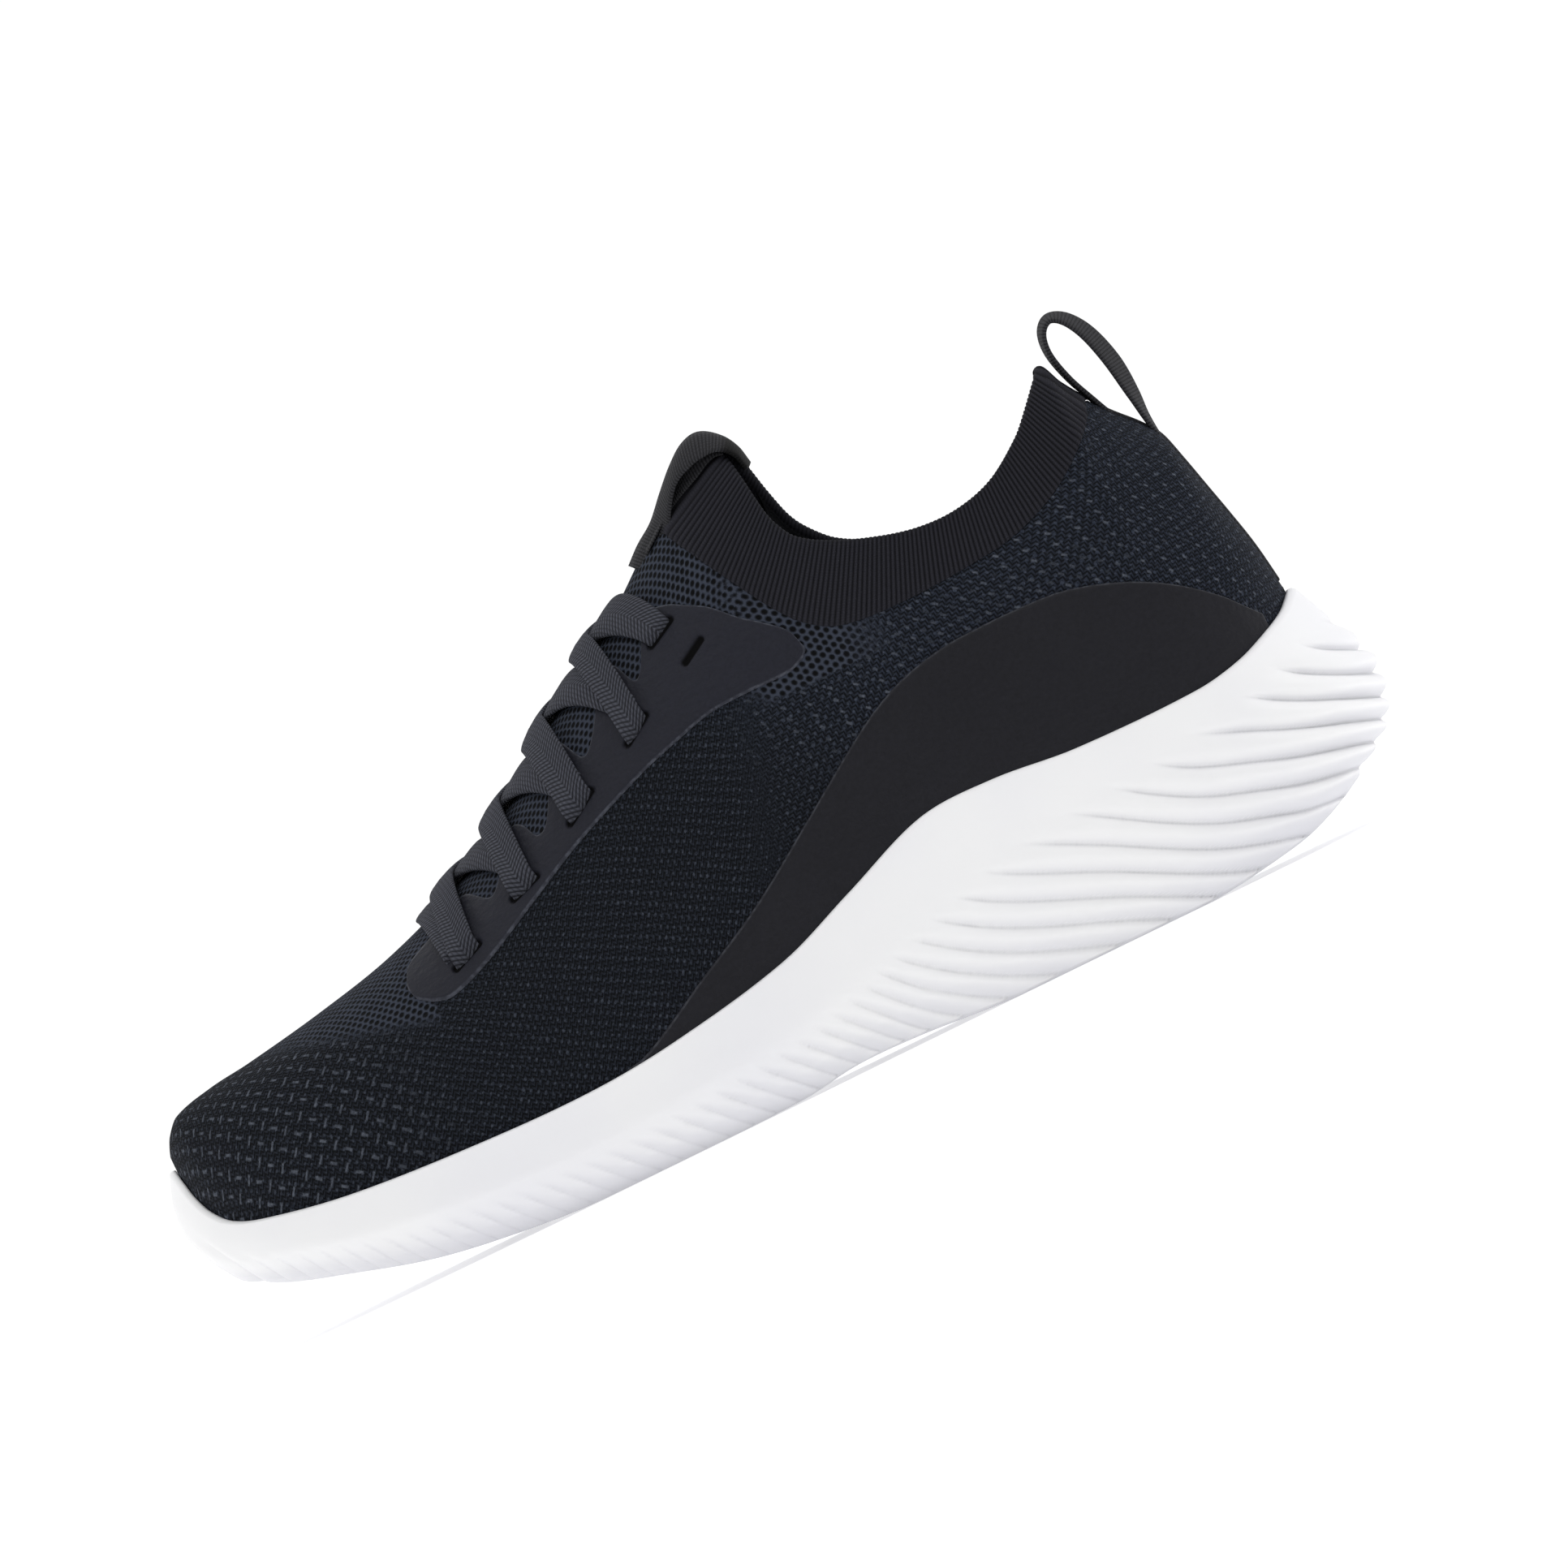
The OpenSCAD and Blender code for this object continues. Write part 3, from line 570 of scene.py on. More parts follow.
# Float stitches: short lighter bars in staggered rows. At the toe they lean by turns
# one way and the other; at the heel they lie along the rows, each lit differently
TOE_PITCH, TOE_ROWS, HEEL_PITCH, HEEL_ROWS = 4.8, 2.9, 3.6, 2.4
toe_row = (down + jitter * 0.6) / TOE_ROWS
toe_step = toe_row.math("FLOOR") * 0.5
toe_x = (length / TOE_PITCH + toe_step).offset() * TOE_PITCH
toe_y = toe_row.offset() * TOE_ROWS * (toe_step.math("FRACT") * 4 - 1)
toe_bar = ((toe_x + toe_y) * 0.7).math("ABSOLUTE").ramp(1.25, 0.85)
toe_bar = toe_bar * ((toe_x - toe_y) * 0.7).math("ABSOLUTE").ramp(0.5, 0.22) * toe_floats
heel_row = (heel_down + jitter * 0.5) / HEEL_ROWS
heel_at = heel_along / HEEL_PITCH + heel_row.math("FLOOR") * 0.5
heel_pick = (heel_row.math("FLOOR") * 12.9898 + heel_at.math("FLOOR") * 78.233).math("SINE")
heel_bar = (heel_at.cell() * HEEL_PITCH).ramp(0.8, 0.45)
heel_bar = heel_bar * (heel_row.cell() * HEEL_ROWS).ramp(0.5, 0.22)
heel_bar = heel_bar * heel_floats * (heel_pick * 0.5 + 0.5)
floats = toe_bar.math("MAXIMUM", heel_bar)
height = dense_height * (1 - open_mesh) + mesh_height * open_mesh
height = height.math("MAXIMUM", floats * 1.25)
melange_and_sheen = knit.noise(1500, 2).ramp(0.35, 0.75)
yarn = knit.mix(open_mesh, tone(33, 37, 46), tone(54, 59, 71))
# Painted shade: the gaps between the yarns and the holes of the mesh are painted near black
yarn = knit.mix(height, tone(5, 6, 8), yarn)
# Painted highlight: the raised yarn, most of all the pips, is painted lighter in a random melange speckle
yarn = knit.mix(melange_and_sheen * height * (0.25 + pips * 0.55), yarn, tone(66, 71, 81))
yarn = knit.mix(heel_floats * dense_height * 0.25, yarn, tone(58, 66, 84))
knit.colour(knit.mix(floats * (0.4 + melange_and_sheen * 0.6), yarn, tone(88, 93, 103)))
knit.bump(height, 0.55, 1.0)


def thicken(piece, thick_mm):
    """Gives a skin its thickness, inwards."""
    layer = piece.modifiers.new("thickness", "SOLIDIFY")
    layer.thickness = thick_mm * MM
    layer.offset = -1
    apply_modifiers(piece)


def apply_modifiers(piece):
    """Bakes a piece's modifiers into its mesh."""
    bpy.context.view_layer.update()
    shaped = piece.evaluated_get(bpy.context.evaluated_depsgraph_get())
    mesh = bpy.data.meshes.new_from_object(shaped)
    piece.modifiers.clear()
    piece.data = mesh


upper = make_piece("knit_upper", [(knit_grid(-1), False, False), (knit_grid(1), False, False)],
                   knit, ["cloth", "zone", "heel_cloth"])
thicken(upper, KNIT_THICK)
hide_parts("knit_rear", "knit_flex_zone", "knit_toe_box")
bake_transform(upper)


# ------------------------------------------------
# Heel and collar lining. Padded tricot that rolls over the collar's edge and
# runs down the inside of the heel, over the collar foams. It is sewn in.
# ------------------------------------------------
COLLAR_MEDIAL = [(37.5, 141.5), (40.8, 137.5), (43, 128), (45, 121), (47.6, 116.4), (52.5, 111.2),
                 (61, 106.9), (70, 104.5), (80, 104.3), (90, 107), (100, 113.5), (105, 118.5),
                 (111.5, 126)]


def collar_line(side):
    """The foot opening's edge; the inner side is a little higher in front."""
    return COLLAR if side < 0 else COLLAR_MEDIAL


def walk(points, steps):
    """Points spaced evenly along a smooth curve through a few points."""
    points = np.array(points, float)
    fine = np.linspace(points[0, 0], points[-1, 0], 800)
    if np.all(np.diff(points[:, 0]) > 0):
        path = np.stack([fine, curve(points, fine)], -1)
    else:
        rank = np.linspace(0, len(points) - 1, 800)
        path = np.stack([curve(list(enumerate(points[:, k])), rank) for k in (0, 1)], -1)
    gone = run(path, 0)
    at = np.interp(steps, np.linspace(0, 1, 800), np.linspace(0, gone[-1], 800))
    return np.stack([np.interp(at, gone, path[:, 0]), np.interp(at, gone, path[:, 1])], -1)


def on_skin(x, z, side, lift, snap=0.0):
    """A point of the upper by its side-view place. snap 1 puts it on the ridge."""
    z = mix(z, ridge_z(x), snap)
    angle = np.where(snap > 0.995, 90, angle_at(x, z))
    return skin(x, angle, side, lift)


lining_finish = Finish("lining", Roughness=0.95, Specular_IOR_Level=0.2)
pile = lining_finish.noise(1800, 3)
lining_finish.colour(lining_finish.mix(pile, tone(9, 9, 11), tone(30, 31, 35)))
lining_finish.bump(pile, 0.2, 0.6)


LINING_START = 0.12


def lining_grid(side, stations=150, rows=46):
    """One half of the lining, from the opening down to the foam."""
    back = np.linspace(0, 1, stations)
    phi = mix(LINING_START, 1, back)[:, None] * np.ones(rows)
    v = np.linspace(0, 1, rows)[None, :] * np.ones((stations, 1))
    edge = walk(collar_line(side), phi[:, 0])[:, None, :]
    foot = np.stack([mix(44, 136.5, back), mix(44, 58, back)], -1)[:, None, :]
    heel_line = walk([p for p in RIDGE if 111 < p[0] < 137], v[0])[None]
    place = mix(edge, foot, v[..., None])
    straight = mix(edge[-1:], foot[-1:], v[:1, :, None])
    place = place + back[:, None, None] ** 5 * (heel_line - straight)
    x, z = place[..., 0], place[..., 1]
    z = np.maximum(z, curve(FEATHER, x) + 0.6)
    lift = -2.6 - 4.9 * smooth(v, 0, 0.22)
    return on_skin(x, z, side, lift, smooth(phi, 0.95, 1))


lining = make_piece("heel_lining", [(lining_grid(-1), False, False), (lining_grid(1), False, False)],
                    lining_finish)
thicken(lining, 0.8)
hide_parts("lining", "collar_foam_lateral", "collar_foam_medial")
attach(lining, "rearfoot")


# ------------------------------------------------
# Inner sock. Thin black tricot bonded to the knit where it is lasted under,
# down the foam's inner wall to the footbed. On the shoe it bends with the
# forefoot; here it is one fixed piece.
# ------------------------------------------------
def inner_sock(side, stations=220):
    """One half of the sock, from the knit over the rim to the footbed."""
    s = np.linspace(0.004, 0.996, stations)
    x = contour(KNIT_ENDS, s, side)[0]
    rim = curve(FEATHER, contour(RIM, s, 1)[0])
    rows = [skin(x, a + 0 * x, side, -2.7) for a in (16, 9, 3)]
    for ends, cut in ((LEDGE, 1.2), (BED, 1.2), (BED, 7)):
        foot = (ends[0] + cut, ends[1] - cut, ends[2] + cut)
        px, py = contour(foot, s, side)
        height = rim - 2.6 if ends is LEDGE else curve(FOOTBED, px) + 1.2
        rows.append(np.stack([px, py, height], -1))
    return np.stack(rows, 1)


sock = make_piece("inner_sock", [(inner_sock(-1), False, False), (inner_sock(1), False, False)],
                  lining_finish)
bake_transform(sock)


# ------------------------------------------------
# Sockliner. A thin removable foam footbed with a black cloth top; its toe end
# bends up with the forefoot.
# ------------------------------------------------
BOARD = (-133, 129, 14.5)


def footbed(name, x0, x1, inset, body):
    """A stretch of footbed from x0 to x1, cupped at its edges."""
    x, across = np.meshgrid(np.linspace(x0, x1, int(x1 - x0)), np.linspace(-1, 1, 51), indexing="ij")
    toe, heel, narrower = BOARD
    width = half_breadth(station(x, toe, heel), narrower) - inset
    tip = np.sqrt(np.clip((x - (toe + inset)) / 9, 0, 1)) * np.sqrt(np.clip((heel - inset - x) / 9, 0, 1))
    y = across * width * np.where(tip < 1, 0.3 + 0.7 * tip, 1) + curve(SWING, x)
    base = curve(FOOTBED, x)
    soft = 1 - np.abs(across) ** 14
    over = np.stack([x, y, base + 3.4 + 2.3 * soft + 1.2 * np.abs(across) ** 4 * soft], -1)
    under = np.stack([x, y, base + 1.95], -1)
    piece = make_piece(name, [(over, False, False), (under, False, False), *rim_of(over, under)],
                       lining_finish)
    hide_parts(name)
    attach(piece, body)


footbed("sockliner", -78.5, 122, 2.5, "insole")
footbed("sockliner_toe", -127, -80.4, 1.5, "forefoot")


# ------------------------------------------------
# Collar. A band of fine rib knit, charcoal, sewn to the upper. Its ribs run
# square to the opening, and its edge is rolled over the padding.
# ------------------------------------------------
RIB_COUNT = 104


def rib_grid(side, per_rib=6, columns=26):
    """One half of the band, from its seam to the rolled edge."""
    stations = RIB_COUNT * per_rib + 1
    phi = np.linspace(0, 1, stations)
    edge, base = walk(collar_line(side), phi)[:, None], walk(RIB_EDGE, phi)[:, None]
    w = np.linspace(0, 1, columns)
    place = mix(base, edge, w[None, :, None])
    snap = np.maximum(smooth(phi, 0.03, 0), smooth(phi, 0.97, 1))[:, None] * np.ones(columns)
    rib = np.abs(np.sin(np.pi * phi * RIB_COUNT)) ** 0.7
    lift = 0.15 + 0.32 * smooth(w, 0, 0.06) + (0.32 * rib[:, None] - 0.1) * smooth(w, 0, 0.06)
    band = on_skin(place[..., 0], place[..., 1], side, lift, snap)
    count = np.stack([phi[:, None] * RIB_COUNT + 0 * w, w + 0 * phi[:, None], 0 * snap], -1)
    inward = on_skin(place[:, -1, 0], place[:, -1, 1], side, lift[:, -1] - 1, snap[:, -1]) - band[:, -1]
    ahead = band[:, -1] - band[:, -2]
    ahead /= np.maximum(np.linalg.norm(ahead, axis=-1, keepdims=True), 1e-9)
    ahead[:, 1] *= np.where(snap[:, -1] > 0.995, 0, 1)
    roll = [np.concatenate([band, count], -1)]
    for turned in np.linspace(0.2, 1, 7) * np.pi:
        p = band[:, -1] + ahead * 1.5 * np.sin(turned) + inward * 1.5 * (1 - np.cos(turned))
        roll.append(np.concatenate([p, count[:, -1]], -1)[:, None])
    p = p - ahead * 4 + inward * 0.4
    roll.append(np.concatenate([p, count[:, -1]], -1)[:, None])
    return np.concatenate(roll, 1)


rib = Finish("rib_knit", Roughness=0.9, Specular_IOR_Level=0.12)
rib_at, rib_up, _ = rib.read("rib")
ridge = rib_at.wave()
picks = (rib_up * 30).wave()
fluff = rib.noise(1600, 2)
rib_height = ridge * (0.75 + picks * 0.25)
# Painted shade and highlight: the rib valleys are painted darker and the crests lighter
rib.colour(rib.mix(rib_height * 0.8 + fluff * 0.2, tone(15, 15, 18), tone(45, 45, 52)))
rib.bump(rib_height + fluff * 0.2, 0.3, 0.9)
collar = make_piece("collar_rib", [(rib_grid(-1), False, False), (rib_grid(1), False, False)],
                    rib, ["rib"])
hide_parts("collar_rib")
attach(collar, "rearfoot")


# ------------------------------------------------
# Saddles. A thin film fused over the knit on each side, from the heel to the
# instep; its lower edge is caught under the foam's rim.
# ------------------------------------------------
SADDLE_TOP = [(-45, 23.8), (-38, 24.8), (-30, 28.5), (-20, 34), (0, 44.5), (20, 57.5), (40, 70.5),
              (50, 75.3), (60, 78), (70, 79), (90, 78.6), (100, 76.4), (110, 72.4), (118, 67.5),
              (125, 61.6), (129, 57), (134, 51.2)]
FILM_THICK = 0.65


def film_grid(side, x0, x1, low, high, across=60, along=300, tucked=False, slots=()):
    """A film from x0 to x1 between two lines, rounded at its edges and sunk at its slots."""
    x = (x0 + (x1 - x0) * (0.5 - 0.5 * np.cos(np.pi * np.linspace(0, 1, along))))[:, None]
    v = np.linspace(0, 1, across)[None, :]
    x = x * np.ones_like(v)
    z = mix(low(x), high(x), v)
    rim = (1 - v) * (high(x) - low(x))
    if not tucked:
        rim = np.minimum(rim, v * (high(x) - low(x)))
    rim = np.minimum(rim, np.minimum(x - x0, x1 - x) * 1.2 + 0.02)
    near = np.clip(rim, 0, 1)
    lift = -0.15 + (FILM_THICK + 0.15) * np.sqrt(1 - (1 - near) ** 2)
    hole = np.zeros_like(x)
    for (ax, az), (bx, bz) in slots:
        size = math.hypot(bx - ax, bz - az)
        ux, uz = (bx - ax) / size, (bz - az) / size
        gone, off = (x - ax) * ux + (z - az) * uz, (z - az) * ux - (x - ax) * uz
        beyond = np.maximum(np.maximum(-gone, gone - size), 0)
        hole = np.maximum(hole, smooth(np.hypot(beyond, off), 1.1, 0.6))
    lift = lift - 0.58 * hole
    carried = np.stack([rim, hole, np.zeros_like(x)], -1)
    return np.concatenate([on_skin(x, z, side, lift), carried], -1)


def film_finish(name, dark, light, rim_colour):
    """Fused film: satin, finely grained, paler and scuffed along its edges."""
    film = Finish(name, Roughness=0.6, Specular_IOR_Level=0.16)
    rim, hole, _ = film.read("film")
    weave = film.noise(1100, 3)
    drift = film.noise(35, 2)
    flat = film.mix(weave * 0.7 + drift * 0.3, dark, light)
    edge = rim.ramp(0.75, 0.35) * (0.25 + film.noise(700, 2).ramp(0.4, 0.65) * 0.5)
    # Painted shade: the sunk slots are painted near black for the dark of a punched hole
    film.colour(film.mix(hole, film.mix(edge, flat, rim_colour), tone(1, 1, 2)))
    film.rough(0.5 + weave * 0.2 + hole * 0.4)
    grain = film.noise(420, 1, (1, 1, 0.35)) + film.noise(420, 1, (0.35, 1, 1))
    film.bump(weave * 0.6 + grain * 0.7, 0.35, 0.9)
    return film


saddle_film = film_finish("saddle_film", tone(19, 19, 23), tone(36, 36, 42), tone(72, 74, 81))
for side, name in ((-1, "saddle_lateral"), (1, "saddle_medial")):
    grid = film_grid(side, -42, 132, lambda x: curve(FEATHER, x) + 0.1,
                     lambda x: np.maximum(curve(SADDLE_TOP, x), curve(FEATHER, x) + 0.2), tucked=True)
    saddle = make_piece(name, [(grid, False, False)], saddle_film, ["film"])
    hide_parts(name)
    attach(saddle, "rearfoot")


# ------------------------------------------------
# Eyestays. A stiffer film on each side of the throat, scalloped between its
# six punched lace slots; the lowest five hold the lace.
# ------------------------------------------------
EYE_LOW = [(-79, 61.5), (-78, 59), (-74, 56.5), (-70, 56), (-60, 59.5), (-45, 67), (-30, 74.5),
           (-10, 82.5), (0, 85.5), (10, 88), (20, 88.5), (30, 88.5), (34, 90), (35.5, 91.5)]
EYE_EDGE = [(-79, 62.5), (-77, 66.3), (-70, 70), (-62, 74), (-58, 75.5), (-53, 72.5), (-49, 76),
            (-42, 84.5), (-39.5, 84), (-37.5, 80.5), (-34, 82.5), (-26, 97), (-23.5, 97),
            (-20.5, 92), (-17, 94.5), (-8, 107.5), (-5, 107.5), (-2.5, 102.5), (0, 104), (4, 111.5),
            (8, 115), (12, 114.6), (15, 113), (20, 110), (25, 105), (30, 101), (34, 97),
            (35.5, 92.5)]
SLOTS = [((-67, 61), (-60, 64)), ((-48.5, 69.5), (-41.5, 72)), ((-29.5, 79.3), (-22, 84)),
         ((-10, 89.8), (-3.5, 94)), ((4.5, 107.5), (11, 111)), ((9.8, 100.7), (15.2, 103.9))]

eyestay_film = film_finish("eyestay_film", tone(21, 22, 29), tone(40, 41, 51), tone(80, 83, 93))
for side, name in ((-1, "eyestay_lateral"), (1, "eyestay_medial")):
    grid = film_grid(side, -79, 35.5, lambda x: curve(EYE_LOW, x), lambda x: curve(EYE_EDGE, x),
                     across=90, along=420, slots=SLOTS)
    eyestay = make_piece(name, [(grid, False, False)], eyestay_film, ["film"])
    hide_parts(name)
    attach(eyestay, "rearfoot")


# ------------------------------------------------
# Lace. One flat woven lace, laced criss-cross through five rows and pulled
# tight. Both ends are tucked inside the shoe, so nothing hangs free.
# ------------------------------------------------
# Where each crossing passes over the ridge: its toe-side and heel-side edges
OVER = [(-64.5, -57), (-47.5, -40.3), (-31, -23.3), (-12.6, -6)]
UNDER = [(-60.5, -50), (-43.5, -32.5), (-26, -14), (-10, 1.5)]
LACE_THICK = 1.25


def girth_place(x, z, side):
    """A side-view place as x and the girth in degrees from the ridge."""
    return x, side * (90 - float(angle_at(np.array(x, float), np.array(z, float))))


def ease(line, reach=9):
    """Rounds off the corners of a row of values."""
    padded = np.concatenate([[line[0]] * reach, line, [line[-1]] * reach])
    kernel = np.hanning(2 * reach + 3)[1:-1]
    return np.convolve(padded, kernel / kernel.sum(), "same")[reach:-reach]


def both_sides(x, g, lift):
    """Points of the upper by girth: g runs from -90 (outer rim) over the ridge to 90."""
    angle = 90 - np.abs(g)
    return np.where((g < 0)[..., None], skin(x, angle, -1, lift), skin(x, angle, 1, lift))


def strand(start, ridge_edges, end, side, lifts, steps=120):
    """One pass of lace from a slot on one side, over the ridge, to a slot on the other."""
    edges = []
    for k in (0, 1):
        a, b = girth_place(*start[k], side), girth_place(*end[k], -side)
        stops = [(-0.03, a[0], a[1] + side * 1.3), (0, *a), (0.5, ridge_edges[k], 0), (1, *b),
                 (1.03, b[0], b[1] - side * 1.3)]
        edges.append(stops)
    t = np.concatenate([np.linspace(-0.03, 0.04, 12), np.linspace(0.05, 0.95, steps),
                        np.linspace(0.96, 1.03, 12)])
    around = np.linspace(0, 2 * np.pi, 25)[:-1]
    cos, sin = np.cos(around), np.sin(around)
    w = 0.5 + 0.5 * np.sign(cos) * np.abs(cos) ** 0.4
    thick = LACE_THICK / 2 * np.sign(sin) * np.abs(sin) ** 0.55
    crown = 0.45 * (1 - (2 * w - 1) ** 2)
    rails = [[np.interp(t, *np.array(stops)[:, [0, k]].T) for k in (1, 2)] for stops in edges]
    rails = [[ease(line) for line in rail] for rail in rails]
    x = mix(rails[0][0][:, None], rails[1][0][:, None], w)
    g = mix(rails[0][1][:, None], rails[1][1][:, None], w)
    dive = 3.4 * np.maximum(smooth(t, 0.022, -0.02), smooth(t, 0.978, 1.02))
    lift = curve([(0, lifts[0]), (0.5, lifts[1]), (1, lifts[2])], t) - dive
    p = both_sides(x, g, lift[:, None] + thick + crown)
    centre = p.mean(1)
    gone = run(centre, 0)
    breadth = np.linalg.norm(p[:, 0] - p[:, 12], axis=-1)
    cloth = np.stack([gone[:, None] + 0 * w, (w - 0.5) * breadth[:, None], 0 * x], -1)
    return np.concatenate([p, cloth], -1)


lace_finish = Finish("lace_weave", Roughness=0.85, Specular_IOR_Level=0.15)
lace_along, lace_across, _ = lace_finish.read("cloth")
lean = lace_across.math("ABSOLUTE")
herring = (lace_along / 1.25 - lean * 0.7).wave()
braid = (lace_across / 1.05 + lace_along * 0.12).wave()
lace_height = herring * (0.5 + braid * 0.5)
fuzz = lace_finish.noise(1700, 2)
# Painted highlight and shade: the raised weave is painted lighter and its valleys darker
lace_finish.colour(lace_finish.mix(lace_height * 0.8 + fuzz * 0.25, tone(8, 8, 10), tone(84, 86, 96)))
lace_finish.bump(lace_height + fuzz * 0.15, 0.4, 1.0)


def shifted(slot, first, second):
    """A slot with each of its ends moved."""
    (ax, az), (bx, bz) = slot
    return ((ax + first[0], az + first[1]), (bx + second[0], bz + second[1]))


lowest = shifted(SLOTS[0], (-1.5, 1.2), (-1, 1.6))
passes = [(strand(lowest, (-71, -63), lowest, -1, (1.4, 1.3, 1.4)), False, True)]
for row in range(4):
    last = row == 3
    reach = SLOTS[row + 1] if last else shifted(SLOTS[row + 1], (2.5, 3), (0, 4))
    passes.append((strand(SLOTS[row], OVER[row], reach, -1, (2.5, 2.9, 1.5)), False, True))
    passes.append((strand(SLOTS[row], UNDER[row], reach, 1, (2.5, 1.5, 1.5)), False, True))
lace = make_piece("lace", passes, lace_finish, ["cloth"], welded=False)
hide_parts("lace")
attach(lace, "rearfoot")


# ------------------------------------------------
# Tongue tab. A wide grey strap tacked to the ridge in front and to the
# collar's peak behind, arched clear of the tongue between.
# ------------------------------------------------
TAB_RIDGE = [(8.2, 126), (12, 129.3), (17, 132.8), (22, 138), (26.5, 142.4), (31, 145.7),
             (35.2, 146.4), (39.4, 143.4), (41.6, 139.5), (42.4, 135.5)]
TAB_EDGE = [(13.4, 120.8), (15.6, 123), (18.8, 127.6), (21.6, 133.4), (25.2, 138.2), (29.9, 140.6),
            (34.2, 141.4), (37.8, 140.9), (40.6, 138), (41.4, 134.5)]
webbing = Finish("webbing", Roughness=0.8, Specular_IOR_Level=0.18)
web_along, web_across, inside = webbing.read("cloth")
web_height = (web_along / 0.8).wave() * (0.6 + (web_across / 0.8 + (web_along / 1.6).cell()).wave() * 0.4)
web_fuzz = webbing.noise(1500, 2)
# Painted shade and highlight: the weave's valleys are painted darker and its raised yarn lighter
web_tone = webbing.mix(web_height * 0.8 + web_fuzz * 0.3, tone(11, 11, 12), tone(56, 56, 60))
# Painted shade: where the third cloth value is set, the strap is painted near black
webbing.colour(webbing.mix(inside, web_tone, tone(5, 5, 6)))
webbing.bump(web_height + web_fuzz * 0.2, 0.25, 0.9)


def band_piece(centre, rim, half_width, thick, twist=0.0):
    """A flat strap: its middle line, its two edge lines and its thickness."""
    around = np.linspace(0, 2 * np.pi, 49)[:-1]
    across = np.sign(np.cos(around)) * np.abs(np.cos(around)) ** 0.45
    rise = thick / 2 * np.sign(np.sin(around)) * np.abs(np.sin(around)) ** 0.5
    step = np.gradient(centre, axis=0)
    step /= np.linalg.norm(step, axis=-1, keepdims=True)
    outside = np.stack([-step[:, 1], step[:, 0]], -1)
    place = mix(centre[:, None], rim[:, None], (np.abs(across) ** 2)[:, None])
    twist = np.broadcast_to(twist, len(centre))[:, None]
    away = rise * np.cos(twist) + across * half_width * np.sin(twist)
    place = place + outside[:, None] * away[..., None]
    y = across * half_width * np.cos(twist) - rise * np.sin(twist) + curve(SWING, place[..., 0])
    gone = run(centre, 0)
    cloth = [gone[:, None] + 0 * y, across * half_width + 0 * y, 0 * y]
    ring = np.stack([place[..., 0], y, place[..., 1], *cloth], -1)
    ends = []
    for end in (ring[0], ring[-1]):
        middle = end * 1
        middle[:, 2] = mix(end[:, 2], end[::-1, 2], 0.5)
        middle[:, 0] = mix(end[:, 0], end[::-1, 0], 0.5)
        ends.append((np.stack([end, middle], 0), False, True))
    return [(ring, False, True), *ends]


steps = np.linspace(0, 1, 140)
tab_parts = band_piece(walk(TAB_RIDGE, steps), walk(TAB_EDGE, steps), 10, 1.6)
# Painted shade: the tab's far end, where it goes down into the collar, is painted near black for the
# shade inside
tab_parts[0][0][..., 5] = smooth(steps, 0.8, 0.86)[:, None]
# Painted shade: a dark backing strip fills the gap under the arch, standing in for the shade seen there
backing_top = walk(TAB_RIDGE, steps)[18:112:2] - [0, 1.6]
backing_foot = np.stack([backing_top[:, 0], ridge_z(backing_top[:, 0]) - 1.5], -1)
tab_parts += band_piece(backing_top, backing_foot, 8.3, 0.8)
tab = make_piece("tongue_tab", tab_parts, webbing, ["cloth"])
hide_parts("tongue_tab")
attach(tab, "rearfoot")


# ------------------------------------------------
# Heel pull loop. Folded webbing sewn into the collar's back seam and the heel
# tape. It stands up as an open loop and swings sideways over its stitching.
# ------------------------------------------------
LOOP = [(121.8, 109.2), (119.6, 114), (116.6, 121), (114.9, 128), (115.6, 133), (118.3, 135.3),
        (121.8, 133.6), (125, 128.5), (127.3, 120.5), (128.3, 112), (128.7, 105.5), (129.6, 99)]
rank = np.linspace(0, len(LOOP) - 1, 260)
loop_line = np.stack([curve(list(enumerate(v)), rank) for v in np.array(LOOP).T], -1)
lean_out = np.radians(curve([(0, 0), (3, 4), (5, 12), (8, 24), (10, 8), (11, 0)], rank))
loop_parts = band_piece(loop_line, loop_line, 4.5, 1.3, lean_out)
loop = make_piece("heel_loop", loop_parts, webbing, ["cloth"])
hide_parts("heel_loop", "heel_loop_ends")
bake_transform(loop)


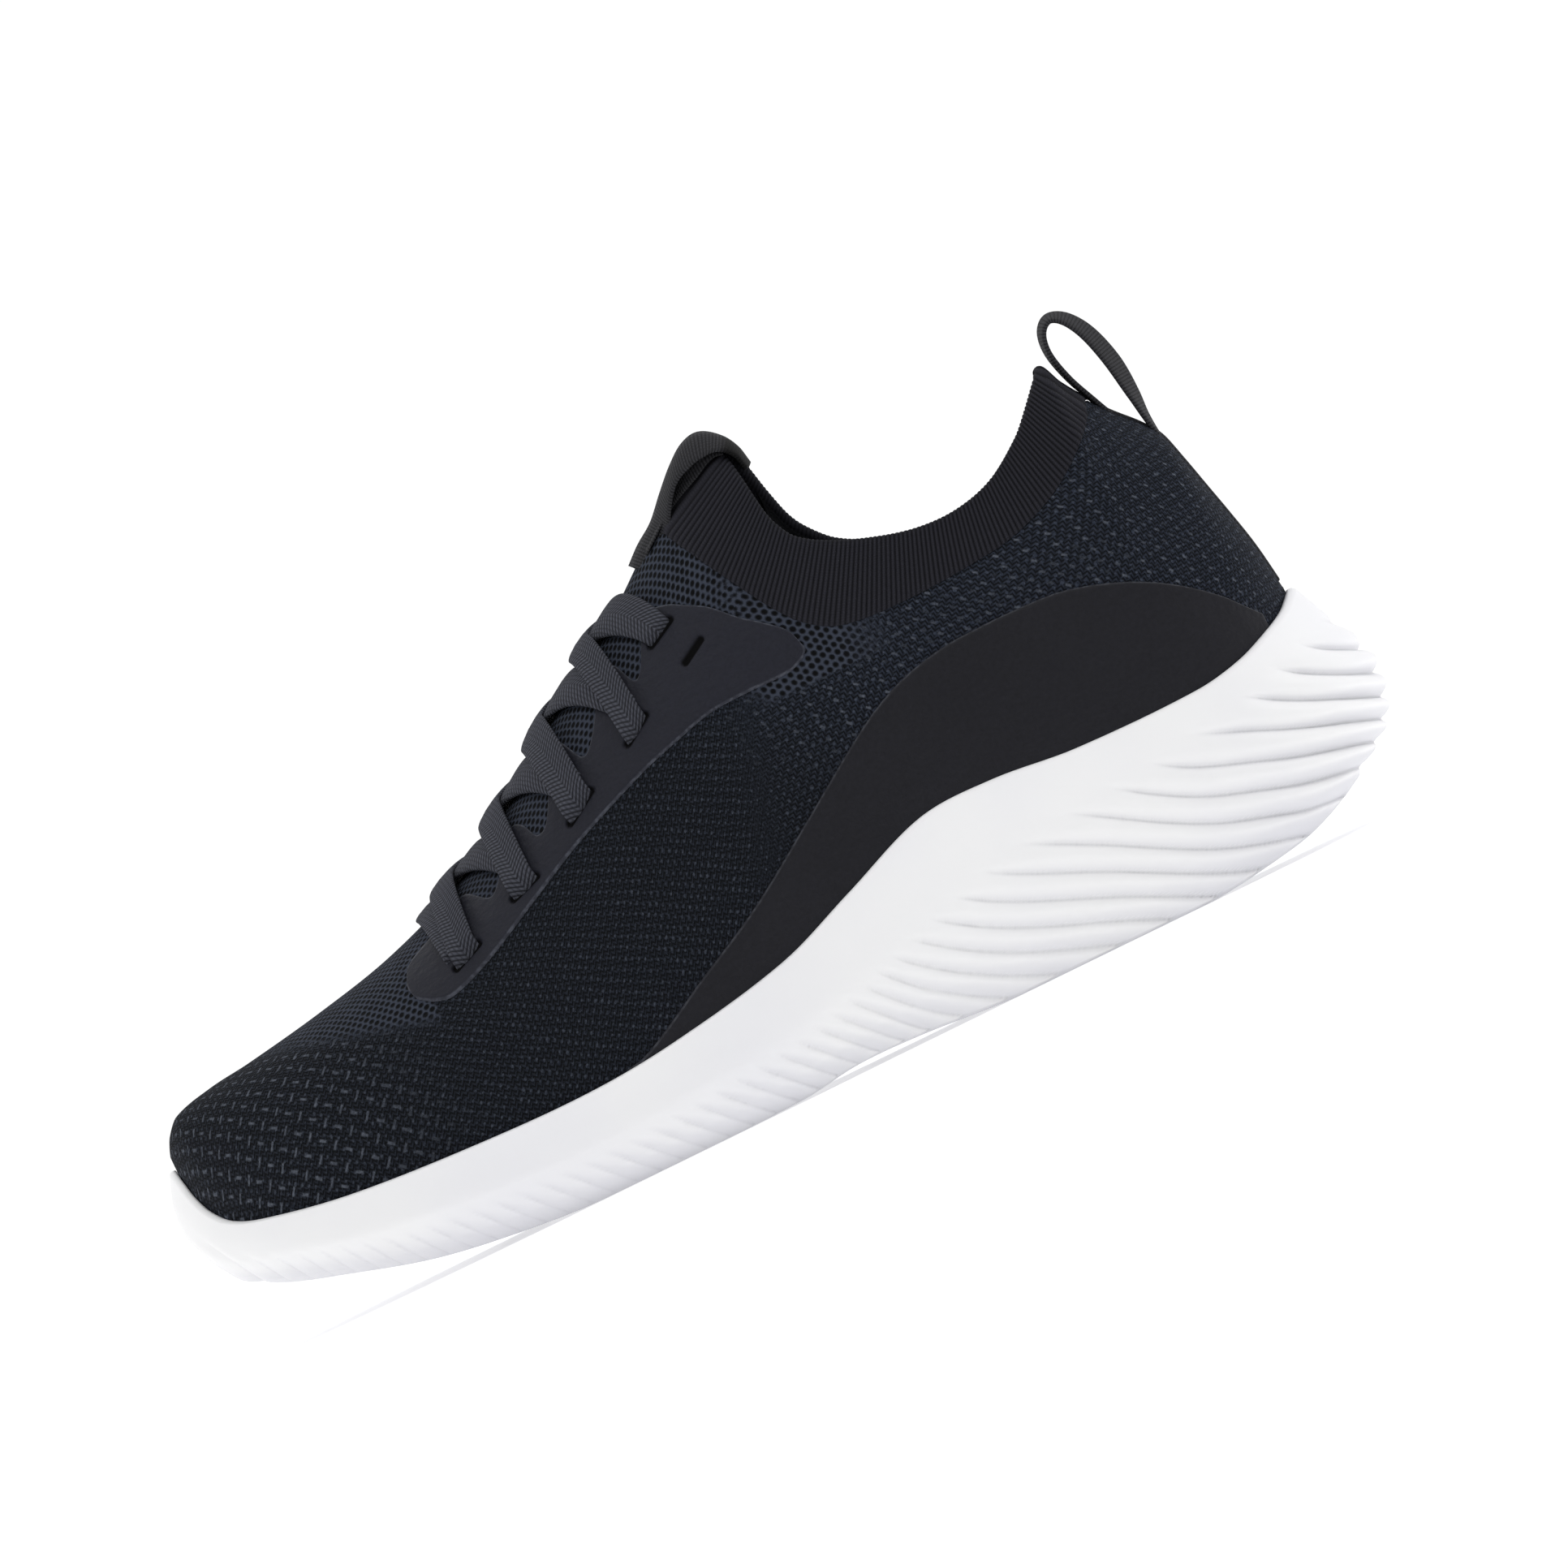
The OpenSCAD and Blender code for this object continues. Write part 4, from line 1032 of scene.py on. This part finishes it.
# ------------------------------------------------
# Heel tape. A narrow dark tape fused over the knit's back seam, from the pull
# loop down to the foam.
# ------------------------------------------------
TAPE_HALF = 3.6
x, across = np.meshgrid(np.linspace(119.5, 139.3, 120), np.linspace(-1, 1, 33), indexing="ij")
toe, heel, inset = KNIT_ENDS
share = np.clip(np.abs(across) * TAPE_HALF / half_breadth(station(x, toe, heel), inset), 0, 1)
angle = np.degrees(np.arccos(share ** (curve(ROUND, x) / 2)))
lift = 0.55 * np.sqrt(1 - np.abs(across) ** 6) - 0.05
tape_face = np.where((across < 0)[..., None], skin(x, angle, -1, lift), skin(x, angle, 1, lift))
cloth = np.stack([x * 3, across * TAPE_HALF, 0 * x], -1)
tape = make_piece("heel_seam_tape", [(np.concatenate([tape_face, cloth], -1), False, False)],
                  webbing, ["cloth"])
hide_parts("heel_seam_tape")
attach(tape, "rearfoot")


# ------------------------------------------------
# Floor and light. A white sweep under soft studio light.
# ------------------------------------------------
floor_mesh = bpy.data.meshes.new("floor")
floor_mesh.from_pydata([(-6, -6, 0), (6, -6, 0), (6, 6, 0), (-6, 6, 0)], [], [(0, 1, 2, 3)])
paper = Finish("paper", Roughness=0.9, Base_Color=(0.9, 0.9, 0.9, 1), Specular_IOR_Level=0.1)
paper.surface.inputs["Emission Color"].default_value = (1, 1, 1, 1)
paper.surface.inputs["Emission Strength"].default_value = 0.35
floor_mesh.materials.append(paper.material)
floor = bpy.data.objects.new("floor", floor_mesh)
scene.collection.objects.link(floor)

world = bpy.data.worlds.new("studio")
world.use_nodes = True
sky = world.node_tree.nodes
direction = sky.new("ShaderNodeTexCoord")
across_room = sky.new("ShaderNodeSeparateXYZ")
glow = sky.new("ShaderNodeMapRange")
for socket, value in (("From Min", -0.6), ("From Max", 0.1), ("To Min", 0.32), ("To Max", 1.03)):
    glow.inputs[socket].default_value = value
wires = world.node_tree.links
wires.new(direction.outputs["Generated"], across_room.inputs["Vector"])
wires.new(across_room.outputs["Y"], glow.inputs["Value"])
wires.new(glow.outputs["Result"], sky["Background"].inputs["Strength"])
sky["Background"].inputs["Color"].default_value = (1, 1, 1, 1)
scene.world = world
LAMPS = [("key", (-0.25, -0.8, 1.3), 0.6, 4.3), ("rear", (0.9, -0.3, 0.9), 0.4, 1.6)]
for name, place, size, power in LAMPS:
    lamp = bpy.data.lights.new(name, "AREA")
    lamp.size, lamp.energy = size, power
    light = bpy.data.objects.new(name, lamp)
    light.location = place
    light.rotation_euler = (AIM - Vector(place)).to_track_quat("-Z", "Y").to_euler()
    scene.collection.objects.link(light)
